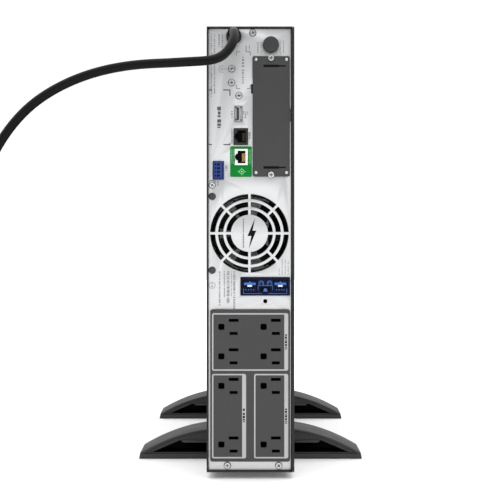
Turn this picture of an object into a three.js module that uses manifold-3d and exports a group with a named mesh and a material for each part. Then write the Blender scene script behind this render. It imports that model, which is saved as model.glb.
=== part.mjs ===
// Rack or tower uninterruptible power supply (UPS), standing on its edge in two pairs of tower feet.
// Units are millimetres. +X is to the right seen from the rear, +Y runs from the rear panel to the front
// bezel, +Z is up. Depths below count from the rear edge of the case; the exported group is moved back by
// ORIGIN_DEPTH, so that the origin lies on the floor under the middle of the object without its cord.
import * as THREE from "three";
import { NURBSCurve } from "three/addons/curves/NURBSCurve.js";
import { mergeVertices } from "three/addons/utils/BufferGeometryUtils.js";
import Module from "manifold-3d";

const wasm = await Module();
wasm.setup();

// ---- driving dimensions -------------------------------------------------------------------------------
const CASE_WIDTH = 85;
const CASE_HEIGHT = 432;
const CASE_DEPTH = 462;
const CASE_FLOOR = 6.4; // the case stands this high above the floor, on the feet's base plates
const WALL = 1.2;
const COVER_LIP = 2.8; // the cover's folded edge
const GAP = 0.3; // clearance between neighbouring pieces
const SHEET = 1.2; // inner sheet metal

const HALF = CASE_WIDTH / 2;
const CASE_TOP = CASE_FLOOR + CASE_HEIGHT;
const PANEL_FACE = 4; // depth of the rear panel's outer face
const PANEL_BACK = PANEL_FACE + SHEET;
const FRONT_MOST = 491.6;
const REAR_MOST = -3;
const ORIGIN_DEPTH = (FRONT_MOST + REAR_MOST) / 2;

// Rear panel layout: centres in X and Z.
const FAN = { x: -1, z: 238 };
const FAN_SIZE = 79;
const FAN_PITCH = 35.9; // from the fan's axis to its fixing holes
const FAN_BORE = 37.5;
const GRILLE_RINGS = [
  { inner: 18.1, outer: 22.8, spokes: 4 },
  { inner: 25.5, outer: 30.5, spokes: 8 },
  { inner: 33.3, outer: 38.2, spokes: 8 },
];
const SPOKE_WIDTH = 2.5;
const GLAND = { x: -16.2, z: 429.4 };
const BREAKER = { x: 19.8, z: 421 };
const SLOT_COVER = { x0: 2, x1: 38.2, z0: 293.1, z1: 410.1 };
const SLOT_SCREWS = [
  { x: 20, z: 408.1 },
  { x: 20, z: 294.8 },
];
const USB = { x0: -15.4, x1: -8.1, z0: 346.6, z1: 361.9 };
const SERIAL = { x0: -16.2, x1: -2.7, z0: 324.3, z1: 340 };
const NETWORK = { x0: -15.4, x1: -2.7, z0: 304.3, z1: 319.9 };
const PORT_PLATE = { x0: -19.8, x1: 1.2, z0: 293, z1: 365 }; // the sheet round the three data ports
const FINGER_NOTCH = { x0: 0.5, x1: 4, z0: 373.8, z1: 383.1 }; // beside the slot cover
const PIN_HOLE = { x: 14.4, z: 172 };
const EPO = { x0: -36.5, x1: -26.2, z0: 290.5, z1: 308 };
const LINK = { x0: -9.5, x1: 38.1, z0: 177.8, z1: 195.1 };
const OUTLET_PANEL = { x0: -39.1, x1: 38.4, z0: 16.4, z1: 164.1 };
const OUTLET_COLUMNS = [-28.3, 12.7]; // the ground holes' X
const OUTLET_ROWS = [147.2, 118.6, 89.9, 33]; // the ground holes' Z
const BLADE_OFFSET = 11.9; // from the ground hole to the blade slots
const BLADE_SPREAD = 6.35; // from the outlet's middle to each blade slot
const SLOT_HALF = 1.45; // half the width of a blade slot
const GROUND_HOLE = 2.9;
const PANEL_SCREWS = {
  top: { x: 2.2, z: 432.8, r: 3.6 },
  upper: { x: -11.3, z: 371.8, r: 3.6 },
  side: { x: -37.2, z: 284.8, r: 3.4 },
  lower_left: { x: -22.5, z: 12.3, r: 3.6 },
  lower_right: { x: 27.5, z: 12.3, r: 3.6 },
};
const GROUND_SCREWS = [
  { x: -18.2, z: 398.1 },
  { x: -18.4, z: 384.6 },
];
const RIVETS = [
  { x: -37.2, z: 273.9 },
  { x: -37.2, z: 202.1 },
];
const STAND_DEPTHS = { rear: 94.5, front: 347.5 };
const STAND_THICKNESS = 50;
const CORD_RADIUS = 4.3;
const COIL = { x: -322, depth: -18, radius: 51, turnsPerLayer: 2.5 };
const DISPLAY = { x: 0, z: 388 };

// ---- helpers ------------------------------------------------------------------------------------------
const group = new THREE.Group();
group.position.y = -ORIGIN_DEPTH;

const LOOKS = {
  case_black: { color: 0x1d1e20, roughness: 0.55, metalness: 0.3 },
  panel_silver: { color: 0xc9cacc, roughness: 0.42, metalness: 0.45 },
  outlet_grey: { color: 0x4a4a4b, roughness: 0.6, metalness: 0 },
  cover_grey: { color: 0x474748, roughness: 0.5, metalness: 0.2 },
  black_plastic: { color: 0x18181a, roughness: 0.5, metalness: 0 },
  stand_plastic: { color: 0x363739, roughness: 0.55, metalness: 0 },
  steel: { color: 0xb9babc, roughness: 0.3, metalness: 1 },
  blue_plastic: { color: 0x2d4594, roughness: 0.45, metalness: 0 },
  navy_plastic: { color: 0x0b1230, roughness: 0.5, metalness: 0 },
  white_plastic: { color: 0xe9e9e6, roughness: 0.5, metalness: 0 },
  fan_black: { color: 0x0d0d0e, roughness: 0.5, metalness: 0 },
  cord_black: { color: 0x131314, roughness: 0.55, metalness: 0 },
  bezel_black: { color: 0x1b1c1e, roughness: 0.45, metalness: 0 },
  display_gloss: { color: 0x0a0b0d, roughness: 0.12, metalness: 0 },
  board_green: { color: 0x1d5a34, roughness: 0.5, metalness: 0 },
  battery_grey: { color: 0x55575a, roughness: 0.6, metalness: 0 },
  aluminium: { color: 0xa8aaad, roughness: 0.4, metalness: 1 },
  copper: { color: 0xa25b2c, roughness: 0.4, metalness: 1 },
};

function add(name, geometry, look) {
  const mesh = new THREE.Mesh(geometry, new THREE.MeshStandardMaterial(LOOKS[look]));
  mesh.name = name;
  group.add(mesh);
}

function toSolid(geometry) {
  const bare = geometry.index ? geometry.toNonIndexed() : geometry.clone();
  bare.deleteAttribute("normal");
  bare.deleteAttribute("uv");
  const merged = mergeVertices(bare, 1e-3);
  const vertProperties = merged.attributes.position.array;
  const triVerts = new Uint32Array(merged.index.array);
  return new wasm.Manifold(new wasm.Mesh({ numProp: 3, vertProperties, triVerts }));
}

function toGeometry(solid) {
  const mesh = solid.getMesh();
  const geometry = new THREE.BufferGeometry();
  geometry.setAttribute("position", new THREE.BufferAttribute(new Float32Array(mesh.vertProperties), 3));
  geometry.setIndex(new THREE.BufferAttribute(new Uint32Array(mesh.triVerts), 1));
  return geometry;
}

function cut(base, ...tools) {
  return toGeometry(tools.reduce((solid, tool) => solid.subtract(toSolid(tool)), toSolid(base)));
}

function join(...pieces) {
  return toGeometry(pieces.map(toSolid).reduce((solid, piece) => solid.add(piece)));
}

function box(x0, x1, y0, y1, z0, z1) {
  const geometry = new THREE.BoxGeometry(x1 - x0, y1 - y0, z1 - z0);
  return geometry.translate((x0 + x1) / 2, (y0 + y1) / 2, (z0 + z1) / 2);
}

// A round bar along Y.
function rod(at, radius, y0, y1, segments = 20) {
  const geometry = new THREE.CylinderGeometry(radius, radius, y1 - y0, segments);
  return geometry.translate(at.x, (y0 + y1) / 2, at.z);
}

// An outline drawn in X and Z, extruded from depth y0 to y1.
function prism(shape, y0, y1, curveSegments = 4) {
  const geometry = new THREE.ExtrudeGeometry(shape, { depth: y1 - y0, bevelEnabled: false, curveSegments });
  return geometry.rotateX(Math.PI / 2).translate(0, y1, 0);
}

function roundedRect({ x0, x1, z0, z1 }, radius) {
  const shape = new THREE.Shape();
  shape.absarc(x1 - radius, z1 - radius, radius, 0, Math.PI / 2);
  shape.absarc(x0 + radius, z1 - radius, radius, Math.PI / 2, Math.PI);
  shape.absarc(x0 + radius, z0 + radius, radius, Math.PI, 1.5 * Math.PI);
  shape.absarc(x1 - radius, z0 + radius, radius, 1.5 * Math.PI, 2 * Math.PI);
  return shape;
}

function grown({ x0, x1, z0, z1 }, by) {
  return { x0: x0 - by, x1: x1 + by, z0: z0 - by, z1: z1 + by };
}

function slab(rect, y0, y1) {
  return box(rect.x0, rect.x1, y0, y1, rect.z0, rect.z1);
}

// A turned piece along Y: pairs of radius and depth, from the axis round to the axis.
function turned(at, profile, segments = 16) {
  const points = profile.map(([radius, depth]) => new THREE.Vector2(radius, depth));
  return new THREE.LatheGeometry(points, segments).translate(at.x, 0, at.z);
}

// A pan-head screw whose head sits on the face at depth `face` and points to the rear.
function screw(at, face, headRadius, headHeight = 2.2, shankRadius = 1.5, shankLength = 6) {
  const under = face - GAP;
  return turned(at, [
    [0, under - headHeight],
    [headRadius * 0.62, under - headHeight],
    [headRadius * 0.9, under - headHeight * 0.72],
    [headRadius, under - headHeight * 0.3],
    [headRadius, under],
    [shankRadius, under],
    [shankRadius, face + shankLength],
    [0, face + shankLength],
  ], 12);
}

// ---- case: tray, side cover and the two end panels ----------------------------------------------------
function makeCase() {
  const trayEdge = HALF - SHEET - GAP;
  const tray = join(
    box(-HALF, -HALF + WALL, 0, CASE_DEPTH, CASE_FLOOR, CASE_TOP),
    box(-HALF, trayEdge, 0, CASE_DEPTH, CASE_FLOOR, CASE_FLOOR + WALL),
    box(-HALF, trayEdge, 0, CASE_DEPTH, CASE_TOP - WALL, CASE_TOP),
  );
  add("chassis_tray", tray, "case_black");

  const lipInside = HALF - COVER_LIP;
  const lipZ = [CASE_FLOOR + WALL + GAP, CASE_TOP - WALL - GAP];
  const cover = join(
    box(HALF - SHEET, HALF, 0, CASE_DEPTH, CASE_FLOOR, CASE_TOP),
    box(lipInside, HALF - SHEET / 2, 0, 12, ...lipZ),
    box(lipInside, HALF - SHEET / 2, CASE_DEPTH - 12, CASE_DEPTH, ...lipZ),
  );
  add("side_cover", cover, "case_black");
}

// One slot of the fan grille: a part of a ring between two spokes of the same width all along.
function grilleSlot({ inner, outer, spokes }, index) {
  const step = (2 * Math.PI) / spokes;
  const edge = (radius) => Math.asin(SPOKE_WIDTH / 2 / radius);
  const shape = new THREE.Shape();
  const from = index * step;
  shape.absarc(FAN.x, FAN.z, outer, from + edge(outer), from + step - edge(outer), false);
  shape.absarc(FAN.x, FAN.z, inner, from + step - edge(inner), from + edge(inner), true);
  return prism(shape, PANEL_FACE - 1, PANEL_BACK + 1, spokes === 4 ? 6 : 3);
}

function makeRearPanel() {
  const [low, high] = [CASE_FLOOR + WALL + GAP, CASE_TOP - WALL - GAP];
  const sheet = box(-HALF + WALL + GAP, HALF - COVER_LIP - GAP, PANEL_FACE, PANEL_BACK, low, high);
  const holes = [];
  for (const ring of GRILLE_RINGS) {
    for (let i = 0; i < ring.spokes; i++) holes.push(grilleSlot(ring, i));
  }
  const windows = [PORT_PLATE, EPO, LINK].map((rect) => grown(rect, GAP));
  windows.push(grown(OUTLET_PANEL, -2));
  windows.push(grown(SLOT_COVER, -4));
  for (const rect of windows) holes.push(slab(rect, PANEL_FACE - 1, PANEL_BACK + 1));
  const drilled = [...Object.values(PANEL_SCREWS), ...GROUND_SCREWS, ...RIVETS];
  for (const at of drilled) holes.push(rod(at, 1.9, PANEL_FACE - 1, PANEL_BACK + 1, 12));
  for (const at of SLOT_SCREWS) holes.push(rod(at, 1.7, PANEL_FACE - 1, PANEL_BACK + 1, 12));
  holes.push(rod(GLAND, 6.6, PANEL_FACE - 1, PANEL_BACK + 1));
  holes.push(rod(BREAKER, 6.4, PANEL_FACE - 1, PANEL_BACK + 1));
  holes.push(rod(PIN_HOLE, 2, PANEL_FACE - 1, PANEL_BACK + 1, 12));
  holes.push(slab(FINGER_NOTCH, PANEL_FACE - 1, PANEL_BACK + 1));
  add("rear_panel", cut(sheet, ...holes), "panel_silver");

  const ports = [USB, SERIAL, NETWORK].map((rect) => slab(grown(rect, GAP), PANEL_FACE - 1, PANEL_BACK + 1));
  add("port_plate", cut(slab(PORT_PLATE, PANEL_FACE, PANEL_BACK), ...ports), "panel_silver");
}

function makeFrontPanel() {
  const sheet = box(-38.2, 37, 455, 455 + SHEET, CASE_FLOOR + WALL + GAP, CASE_TOP - WALL - GAP);
  add("front_panel", cut(sheet, box(-33, 33, 454, 457, 40, 328)), "case_black");
  const fingerHole = rod({ x: 0, z: 184 }, 9, 456, 458);
  add("battery_door", cut(box(-35.4, 35.4, 456.5, 457.7, 34, 334), fingerHole), "case_black");
}

// ---- rear: outlets ------------------------------------------------------------------------------------
const BLADE_SLOTS = [
  { dz: BLADE_SPREAD, length: 9.4 },
  { dz: -BLADE_SPREAD, length: 7.7 },
];

// The three openings of one outlet, from depth y0 to y1, each larger all round by `by`.
function outletOpenings(x, z, y0, y1, by) {
  const slots = BLADE_SLOTS.map(({ dz, length }) => {
    const [middle, half, thick] = [x + BLADE_OFFSET, length / 2 + by, SLOT_HALF + by];
    return box(middle - half, middle + half, y0, y1, z + dz - thick, z + dz + thick);
  });
  return [rod({ x, z }, GROUND_HOLE + by, y0, y1, 12), ...slots];
}

function makeOutlets() {
  const plate = prism(roundedRect(OUTLET_PANEL, 2.2), 1.2, PANEL_FACE - GAP, 3);
  const openings = [];
  let number = 1;
  for (const z of OUTLET_ROWS) {
    for (const x of OUTLET_COLUMNS) {
      openings.push(...outletOpenings(x, z, 0, 5, 0));
      const body = box(x - 6.5, x + 19.5, PANEL_FACE + 0.1, 29, z - 13.4, z + 13.4);
      add(`outlet_${number}`, cut(body, ...outletOpenings(x, z, 3, 20, 0.2)), "black_plastic");
      number += 1;
    }
  }
  add("outlet_panel", cut(plate, ...openings), "outlet_grey");
}

// ---- rear: fan ----------------------------------------------------------------------------------------
// One fan blade: a thin box bent so that it twists and narrows in pitch from hub to tip.
function fanBlade(turn) {
  const blade = new THREE.BoxGeometry(1, 1, 1, 3, 1, 3);
  const position = blade.attributes.position;
  const [hub, tip] = [13.5, 35.6];
  for (let i = 0; i < position.count; i++) {
    const along = position.getX(i) + 0.5;
    const radius = hub + (tip - hub) * along;
    const pitch = THREE.MathUtils.degToRad(52 - 20 * along);
    const chord = (15 + 7 * along) * position.getZ(i);
    const angle = turn + (chord * Math.cos(pitch)) / radius;
    const depth = 18 + chord * Math.sin(pitch) + 1.4 * position.getY(i);
    position.setXYZ(i, FAN.x + radius * Math.cos(angle), depth, FAN.z + radius * Math.sin(angle));
  }
  return blade;
}

function makeFan() {
  const [back, front] = [6, 31];
  const square = grown({ x0: FAN.x, x1: FAN.x, z0: FAN.z, z1: FAN.z }, FAN_SIZE / 2);
  const corners = [];
  for (const x of [FAN.x - FAN_PITCH, FAN.x + FAN_PITCH]) {
    for (const z of [FAN.z - FAN_PITCH, FAN.z + FAN_PITCH]) corners.push({ x, z });
  }
  const shell = cut(
    prism(roundedRect(square, 3), back, front, 2),
    rod(FAN, FAN_BORE, back - 1, front + 1, 36),
    ...corners.map((at) => rod(at, 2.2, back - 1, front + 1, 10)),
  );
  const struts = [45, 135, 225, 315].map((degrees) => {
    const strut = new THREE.BoxGeometry(28, 2.5, 4).translate(26, front - 1.25, 0);
    return strut.rotateY(THREE.MathUtils.degToRad(degrees)).translate(FAN.x, 0, FAN.z);
  });
  add("fan_frame", join(shell, rod(FAN, 14, front - 2.5, front), ...struts), "fan_black");

  const blades = [];
  const count = 7;
  for (let i = 0; i < count; i++) blades.push(fanBlade((i * 2 * Math.PI) / count));
  add("fan_rotor", join(rod(FAN, 15, 8.5, 27.8, 24), ...blades), "fan_black");
}

// ---- rear: breaker, ports and slot cover --------------------------------------------------------------
function makeBreaker() {
  const collar = join(rod(BREAKER, 7.8, 0.8, PANEL_FACE - GAP, 24), rod(BREAKER, 6, 3, 10));
  const body = join(collar, box(BREAKER.x - 7, BREAKER.x + 7, 8, 34, 411.5, 431));
  add("breaker_body", cut(body, rod(BREAKER, 5.2, -1, 14, 20)), "black_plastic");
  const [stem, head, top, under, end] = [4.9, 7.6, -2.8, 0.2, 13];
  const profile = [[0, top], [head - 1, top], [head - 0.2, top + 0.4], [head, top + 1.2], [head, under]];
  profile.push([stem, under], [stem, end], [0, end]);
  add("breaker_button", turned(BREAKER, profile, 24), "black_plastic");
}

// A modular jack turned on its side: the latch notch is at its left.
function jack(rect, mouth, front, back) {
  const middle = (mouth.z0 + mouth.z1) / 2;
  return cut(
    slab(rect, front, back),
    slab(mouth, front - 1, front + 13),
    box(mouth.x0 - 1.6, mouth.x0 + 1, front - 1, front + 11, middle - 3.2, middle + 3.2),
    box(mouth.x0 - 2.6, mouth.x0, front - 1, front + 9, middle - 1.7, middle + 1.7),
  );
}

function makePorts() {
  const serialMouth = { x0: -12.9, x1: -4.6, z0: 326.2, z1: 338.1 };
  const networkMouth = { x0: -12.5, x1: -4.9, z0: 306, z1: 318.2 };
  add("serial_port", jack(SERIAL, serialMouth, 2.2, 20), "black_plastic");
  add("network_port", jack(NETWORK, networkMouth, 2, 20), "white_plastic");

  const tongue = box(USB.x0 + 2, USB.x0 + 4, 2.4, 15, USB.z0 + 1.6, USB.z1 - 1.6);
  const shell = cut(slab(USB, 2.2, 16), slab(grown(USB, -0.6), 1, 14));
  add("usb_port", join(shell, tongue), "steel");

  add("epo_header", cut(slab(EPO, 2.4, 16), slab(grown(EPO, -0.9), 1, 12)), "blue_plastic");
  const plug = grown(EPO, -1.2);
  const wireHoles = [0, 1, 2, 3].map((i) => {
    const z = plug.z0 + 2 + i * 3.6;
    return box(-32.6, -29.4, -4, 4, z - 1.2, z + 1.2);
  });
  add("epo_plug", cut(slab(plug, REAR_MOST, 11), ...wireHoles), "blue_plastic");
}

function makeBatteryLink() {
  const windows = [[-7.7, 6.4], [22, 36.1]];
  const frame = cut(slab(LINK, 1.4, 26), ...windows.map(([x0, x1]) => box(x0, x1, 0, 27, 180, 192.8)));
  add("battery_link_housing", cut(frame, box(9.4, 19, 0, 5, 181.3, 191.5)), "navy_plastic");
  windows.forEach(([x0, x1], i) => {
    const block = box(x0 + GAP, x1 - GAP, 3, 28, 180.3, 192.5);
    const mouth = box(x0 + 2.2, x1 - 2.2, 2, 17, 182.4, 190.4);
    add(i ? "battery_link_right" : "battery_link_left", cut(block, mouth), "blue_plastic");
  });
}

function makeSlotCover() {
  const [face, back] = [2.1, PANEL_FACE - GAP];
  const tab = box(37, 39, face, back, 345.8, 359.3);
  const plate = join(prism(roundedRect(SLOT_COVER, 1.8), face, back, 3), tab);
  add("slot_cover", cut(plate, ...SLOT_SCREWS.map((at) => rod(at, 1.5, 1, 5, 12))), "cover_grey");
  add("slot_screw_top", screw(SLOT_SCREWS[0], face, 3, 2.4, 1.2), "steel");
  add("slot_screw_bottom", screw(SLOT_SCREWS[1], face, 3, 2.4, 1.2), "steel");
  const cage = cut(box(6.2, 34.8, 5.6, 120, 297.4, 405.4), box(7.2, 33.8, 5, 119, 298.4, 404.4));
  add("card_cage", cage, "aluminium");
}

function makeFasteners() {
  for (const [place, at] of Object.entries(PANEL_SCREWS)) {
    add(`panel_screw_${place}`, screw(at, PANEL_FACE, at.r), "steel");
  }
  GROUND_SCREWS.forEach((at, i) => add(`ground_screw_${i + 1}`, screw(at, PANEL_FACE, 3.6, 1.8), "steel"));
  RIVETS.forEach((at, i) => add(`push_rivet_${i + 1}`, screw(at, PANEL_FACE, 3.6, 1.6), "black_plastic"));
}

// ---- inside -------------------------------------------------------------------------------------------
function makeInside() {
  add("main_board", box(-40, -38.4, 130, 285, 15, 428), "board_green");
  add("transformer", join(box(-30, 28, 150, 220, 60, 130), box(-22, 20, 140, 230, 72, 118)), "copper");
  const fins = [];
  const finCount = 7;
  for (let i = 0; i < finCount; i++) fins.push(box(-30, 20, 150 + i * 9, 153 + i * 9, 190, 280));
  add("heat_sink", join(box(-34, -29, 145, 215, 190, 280), ...fins), "aluminium");
  add("battery_pack", box(-36, 36, 300, 452, 30, 340), "battery_grey");
}

// ---- front bezel and display --------------------------------------------------------------------------
const BEZEL_BACK = 462.4;
const BEZEL_FACE = 490;
const DISH = { radius: 35.2, floor: 485.5 };
const CONSOLE_FACE = 490.6;

function makeBezel() {
  const bevel = 3;
  const outline = { x0: -HALF, x1: HALF, z0: CASE_FLOOR, z1: CASE_TOP };
  const depth = BEZEL_FACE - BEZEL_BACK + bevel;
  const body = new THREE.ExtrudeGeometry(roundedRect(grown(outline, -bevel), 3), {
    depth: depth - 2 * bevel,
    bevelThickness: bevel,
    bevelSize: bevel,
    bevelSegments: 3,
    curveSegments: 3,
  });
  body.rotateX(Math.PI / 2).translate(0, BEZEL_FACE - bevel, 0);
  const inside = { x0: -HALF + 2.5, x1: HALF - 2.5, z0: CASE_FLOOR + 2.5, z1: CASE_TOP - 2.5 };
  const shell = cut(body, box(-50, 50, BEZEL_BACK - 20, BEZEL_BACK, -10, 450), slab(inside, 440, 486.5));
  const openings = [rod(DISPLAY, DISH.radius, DISH.floor, 495, 40), rod(DISPLAY, 23.6, 470, 495, 30)];
  const louvres = 29;
  for (let i = 0; i < louvres; i++) {
    const z = 36 + i * 10;
    openings.push(box(-31, 31, 485, 495, z - 1.9, z + 1.9));
  }
  const clips = [];
  for (const z of [50, 392]) {
    clips.push(box(-41, -38.8, 446, 470, z - 8, z + 8), box(37.6, 40.8, BEZEL_BACK, 470, z - 8, z + 8));
    clips.push(box(37.4, 39.3, 446, 470, z - 8, z + 8));
  }
  add("front_bezel", cut(join(shell, rod(DISPLAY, 37.6, DISH.floor - 3.5, 487, 40), ...clips), ...openings), "bezel_black");
}

const CONSOLE_HALF = 26.5;
const BUTTONS = [
  { name: "power_button", x: -19, z: 18.5, r: 3.1 },
  { name: "up_button", x: -15, z: -18, r: 2.7 },
  { name: "down_button", x: -5, z: -18, r: 2.7 },
  { name: "enter_button", x: 5, z: -18, r: 2.7 },
  { name: "escape_button", x: 15, z: -18, r: 2.7 },
].map((button) => ({ ...button, x: DISPLAY.x + button.x, z: DISPLAY.z + button.z }));

function makeDisplay() {
  const square = {
    x0: DISPLAY.x - CONSOLE_HALF,
    x1: DISPLAY.x + CONSOLE_HALF,
    z0: DISPLAY.z - CONSOLE_HALF,
    z1: DISPLAY.z + CONSOLE_HALF,
  };
  const window = { x0: DISPLAY.x - 19, x1: DISPLAY.x + 19, z0: DISPLAY.z - 12, z1: DISPLAY.z + 12 };
  const body = join(
    prism(roundedRect(square, 9), DISH.floor + 0.4, CONSOLE_FACE, 5),
    rod(DISPLAY, 23.2, 475, DISH.floor + 1, 30),
    rod(DISPLAY, 25, 475, DISH.floor - 3.9, 30),
  );
  const pockets = BUTTONS.map((button) => rod(button, button.r + 0.3, 486.7, 492, 16));
  add("display_console", cut(body, slab(grown(window, 0.4), 489.4, 492), ...pockets), "display_gloss");
  add("display_window", slab(window, 489.7, 490.4), "display_gloss");
  for (const button of BUTTONS) {
    const { name, r } = button;
    add(name, turned(button, [[0, 488], [r, 488], [r, 491], [r * 0.8, FRONT_MOST], [0, FRONT_MOST]], 16), "black_plastic");
  }
}

// ---- tower feet ---------------------------------------------------------------------------------------
// Half of a foot: a base plate under the case and an arched wing beside it, with a pocket in each face.
function standHalf(side, y0) {
  const y1 = y0 + STAND_THICKNESS;
  const at = (x, z) => [side * x, z];
  const wing = new THREE.Shape();
  wing.moveTo(...at(0.15, 0));
  wing.lineTo(...at(118, 0));
  wing.lineTo(...at(116.8, 6.2));
  wing.quadraticCurveTo(...at(80, 28), ...at(HALF + 0.5, 31.9));
  wing.lineTo(...at(HALF + 0.5, CASE_FLOOR - GAP));
  wing.lineTo(...at(0.15, CASE_FLOOR - GAP));
  const inset = new THREE.Shape();
  inset.moveTo(...at(112.4, 5.3));
  inset.quadraticCurveTo(...at(78.5, 25.8), ...at(45, 29.1));
  inset.lineTo(...at(45, 5.3));
  const pocket = new THREE.Shape();
  pocket.moveTo(...at(104.4, 6.6));
  pocket.lineTo(...at(74.6, 19.4));
  pocket.lineTo(...at(71.4, 16.9));
  pocket.lineTo(...at(45, 16.9));
  pocket.lineTo(...at(45, 6.6));
  const tools = [prism(inset, y0 - 1, y0 + 2.2, 6), prism(inset, y1 - 2.2, y1 + 1, 6)];
  tools.push(prism(pocket, y0 - 1, y0 + 22), prism(pocket, y1 - 22, y1 + 1));
  const body = prism(wing, y0, y1, 8);
  const middle = (y0 + y1) / 2;
  if (side < 0) return join(cut(body, ...tools), box(-1, 8, middle - 7, middle + 7, 0, CASE_FLOOR - GAP));
  return cut(body, ...tools, box(-1, 8.3, middle - 7.3, middle + 7.3, -1, 8));
}

function makeStands() {
  for (const [place, depth] of Object.entries(STAND_DEPTHS)) {
    add(`stand_${place}_left`, standHalf(-1, depth), "stand_plastic");
    add(`stand_${place}_right`, standHalf(1, depth), "stand_plastic");
  }
}

// ---- power cord ---------------------------------------------------------------------------------------
const GLAND_END = -16;
const CORD_EXIT = GLAND_END - GAP;

// The lead leaves the gland straight out, bends down and to the left, and falls to the floor in front of its coil.
const CORD_ROUTE = [
  [GLAND.x, CORD_EXIT, GLAND.z],
  [-16.2, -26.8, 429.2],
  [-15.1, -37, 425.8],
  [-14.7, -47.2, 419.4],
  [-17.7, -57.3, 408.3],
  [-24.9, -63.4, 398.5],
  [-35.7, -72, 392.9],
  [-54.4, -77.3, 391.3],
  [-75.4, -75, 390.3],
  [-98.3, -67.5, 390.9],
  [-126, -63, 388],
  [-154, -60, 381],
  [-182, -60, 368],
  [-206, -62, 350],
  [-226, -65, 324],
  [-241, -68, 293],
  [-250, -71, 256],
  [-255, -73, 216],
  [-257, -75, 174],
  [-258, -77, 132],
  [-259, -78, 92],
  [-262, -79, 58],
  [-270, -80, 30],
  [-284, -80, 11],
  [-304, -80, CORD_RADIUS],
  [-322, -79.7, CORD_RADIUS],
];

// A cubic B-spline that starts and ends on its first and last points.
function smoothCurve(points) {
  const spans = points.length - 3;
  const knots = [0, 0, 0, ...Array.from({ length: spans + 1 }, (_, i) => i), spans, spans, spans];
  return new NURBSCurve(3, knots, points.map(([x, y, z]) => new THREE.Vector4(x, y, z, 1)));
}

// The first part of a curve, up to a share of its length.
class FirstPart extends THREE.Curve {
  constructor(curve, share) {
    super();
    this.curve = curve;
    this.share = share;
  }

  getPoint(t, target = new THREE.Vector3()) {
    return target.copy(this.curve.getPointAt(Math.min(1, t * this.share)));
  }
}

function makeCord() {
  const under = PANEL_FACE - GAP;
  const profile = [[0, GLAND_END], [6, GLAND_END], [6.8, -6], [6.9, 1.2], [8.1, 1.4], [8.1, under]];
  profile.push([6.2, under], [6.2, 9], [0, 9]);
  const gland = turned(GLAND, profile, 20);
  const flat = box(GLAND.x - 9, GLAND.x + 9, 0, 6, CASE_TOP - WALL - GAP, CASE_TOP + 9); // the flange clears the tray
  add("cord_gland", cut(gland, flat), "cord_black");

  const sides = 10;
  const section = new THREE.Shape();
  for (let i = 0; i < sides; i++) {
    const angle = (i * 2 * Math.PI) / sides;
    const [x, y] = [CORD_RADIUS * Math.cos(angle), CORD_RADIUS * Math.sin(angle)];
    if (i) section.lineTo(x, y);
    else section.moveTo(x, y);
  }
  const free = new FirstPart(smoothCurve(CORD_ROUTE), 0.944); // the rest lies in the coil's solid
  add("power_cord", new THREE.ExtrudeGeometry(section, { steps: 42, extrudePath: free }), "cord_black");

  const reach = CORD_RADIUS * COIL.turnsPerLayer + CORD_RADIUS;
  const [inner, outer, top] = [COIL.radius - reach, COIL.radius + reach, CORD_RADIUS * 4];
  const ring = [[inner, 2.5], [inner + 2, 0], [outer - 2, 0], [outer, 2.5]];
  ring.push([outer, top - 2.5], [outer - 2, top], [inner + 2, top], [inner, top - 2.5], [inner, 2.5]);
  const coil = new THREE.LatheGeometry(ring.map(([radius, height]) => new THREE.Vector2(radius, height)), 32);
  coil.rotateX(Math.PI / 2).translate(COIL.x, COIL.depth, 0);
  add("power_cord_coil", coil, "cord_black");

  // The plug lies on the floor beside the coil and points to the front.
  const plugAt = { x: COIL.x - COIL.radius - CORD_RADIUS * COIL.turnsPerLayer, z: CORD_RADIUS * 3 };
  const neck = COIL.depth + 34.5;
  const blades = [-BLADE_SPREAD, BLADE_SPREAD].map((dx) =>
    box(plugAt.x + dx - 0.75, plugAt.x + dx + 0.75, neck + 50, neck + 75, plugAt.z - 6, plugAt.z + 0.3),
  );
  const grip = { x0: plugAt.x - 13, x1: plugAt.x + 13, z0: plugAt.z - 12.6, z1: plugAt.z + 12.6 };
  const plug = join(
    turned(plugAt, [[0, neck], [4.7, neck], [6.6, neck + 24], [6.6, neck + 26], [0, neck + 26]], 16),
    prism(roundedRect(grip, 6), neck + 24, neck + 58, 3),
    ...blades,
    rod({ x: plugAt.x, z: plugAt.z + BLADE_OFFSET - 4 }, 2.4, neck + 50, neck + 78, 12),
  );
  add("power_plug", plug, "cord_black");
}

makeCase();
makeRearPanel();
makeFrontPanel();
makeOutlets();
makeFan();
makeBreaker();
makePorts();
makeBatteryLink();
makeSlotCover();
makeFasteners();
makeInside();
makeBezel();
makeDisplay();
makeStands();
makeCord();

export default group;
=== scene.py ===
import math
import random

import bmesh
import bpy
from mathutils import Matrix, Vector


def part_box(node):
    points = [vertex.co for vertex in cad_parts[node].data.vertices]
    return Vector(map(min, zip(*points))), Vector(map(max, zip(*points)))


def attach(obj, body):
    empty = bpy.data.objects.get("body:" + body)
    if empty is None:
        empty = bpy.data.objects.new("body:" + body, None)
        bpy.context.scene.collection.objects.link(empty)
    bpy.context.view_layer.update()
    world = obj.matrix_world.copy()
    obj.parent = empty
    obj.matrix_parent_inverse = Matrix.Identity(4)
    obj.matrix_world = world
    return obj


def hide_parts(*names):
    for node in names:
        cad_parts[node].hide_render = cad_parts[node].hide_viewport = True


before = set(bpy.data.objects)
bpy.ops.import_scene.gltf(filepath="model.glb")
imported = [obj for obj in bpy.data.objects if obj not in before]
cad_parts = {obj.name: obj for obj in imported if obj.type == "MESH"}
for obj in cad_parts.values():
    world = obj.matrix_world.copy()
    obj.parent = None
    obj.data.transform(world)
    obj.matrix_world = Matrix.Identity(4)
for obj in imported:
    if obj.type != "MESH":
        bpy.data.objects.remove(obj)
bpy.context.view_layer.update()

MM = 0.001
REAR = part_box("chassis_tray")[0].y
TO_ROW = Matrix.Translation((0, REAR, 0)) @ Matrix.Scale(MM, 4)
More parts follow.
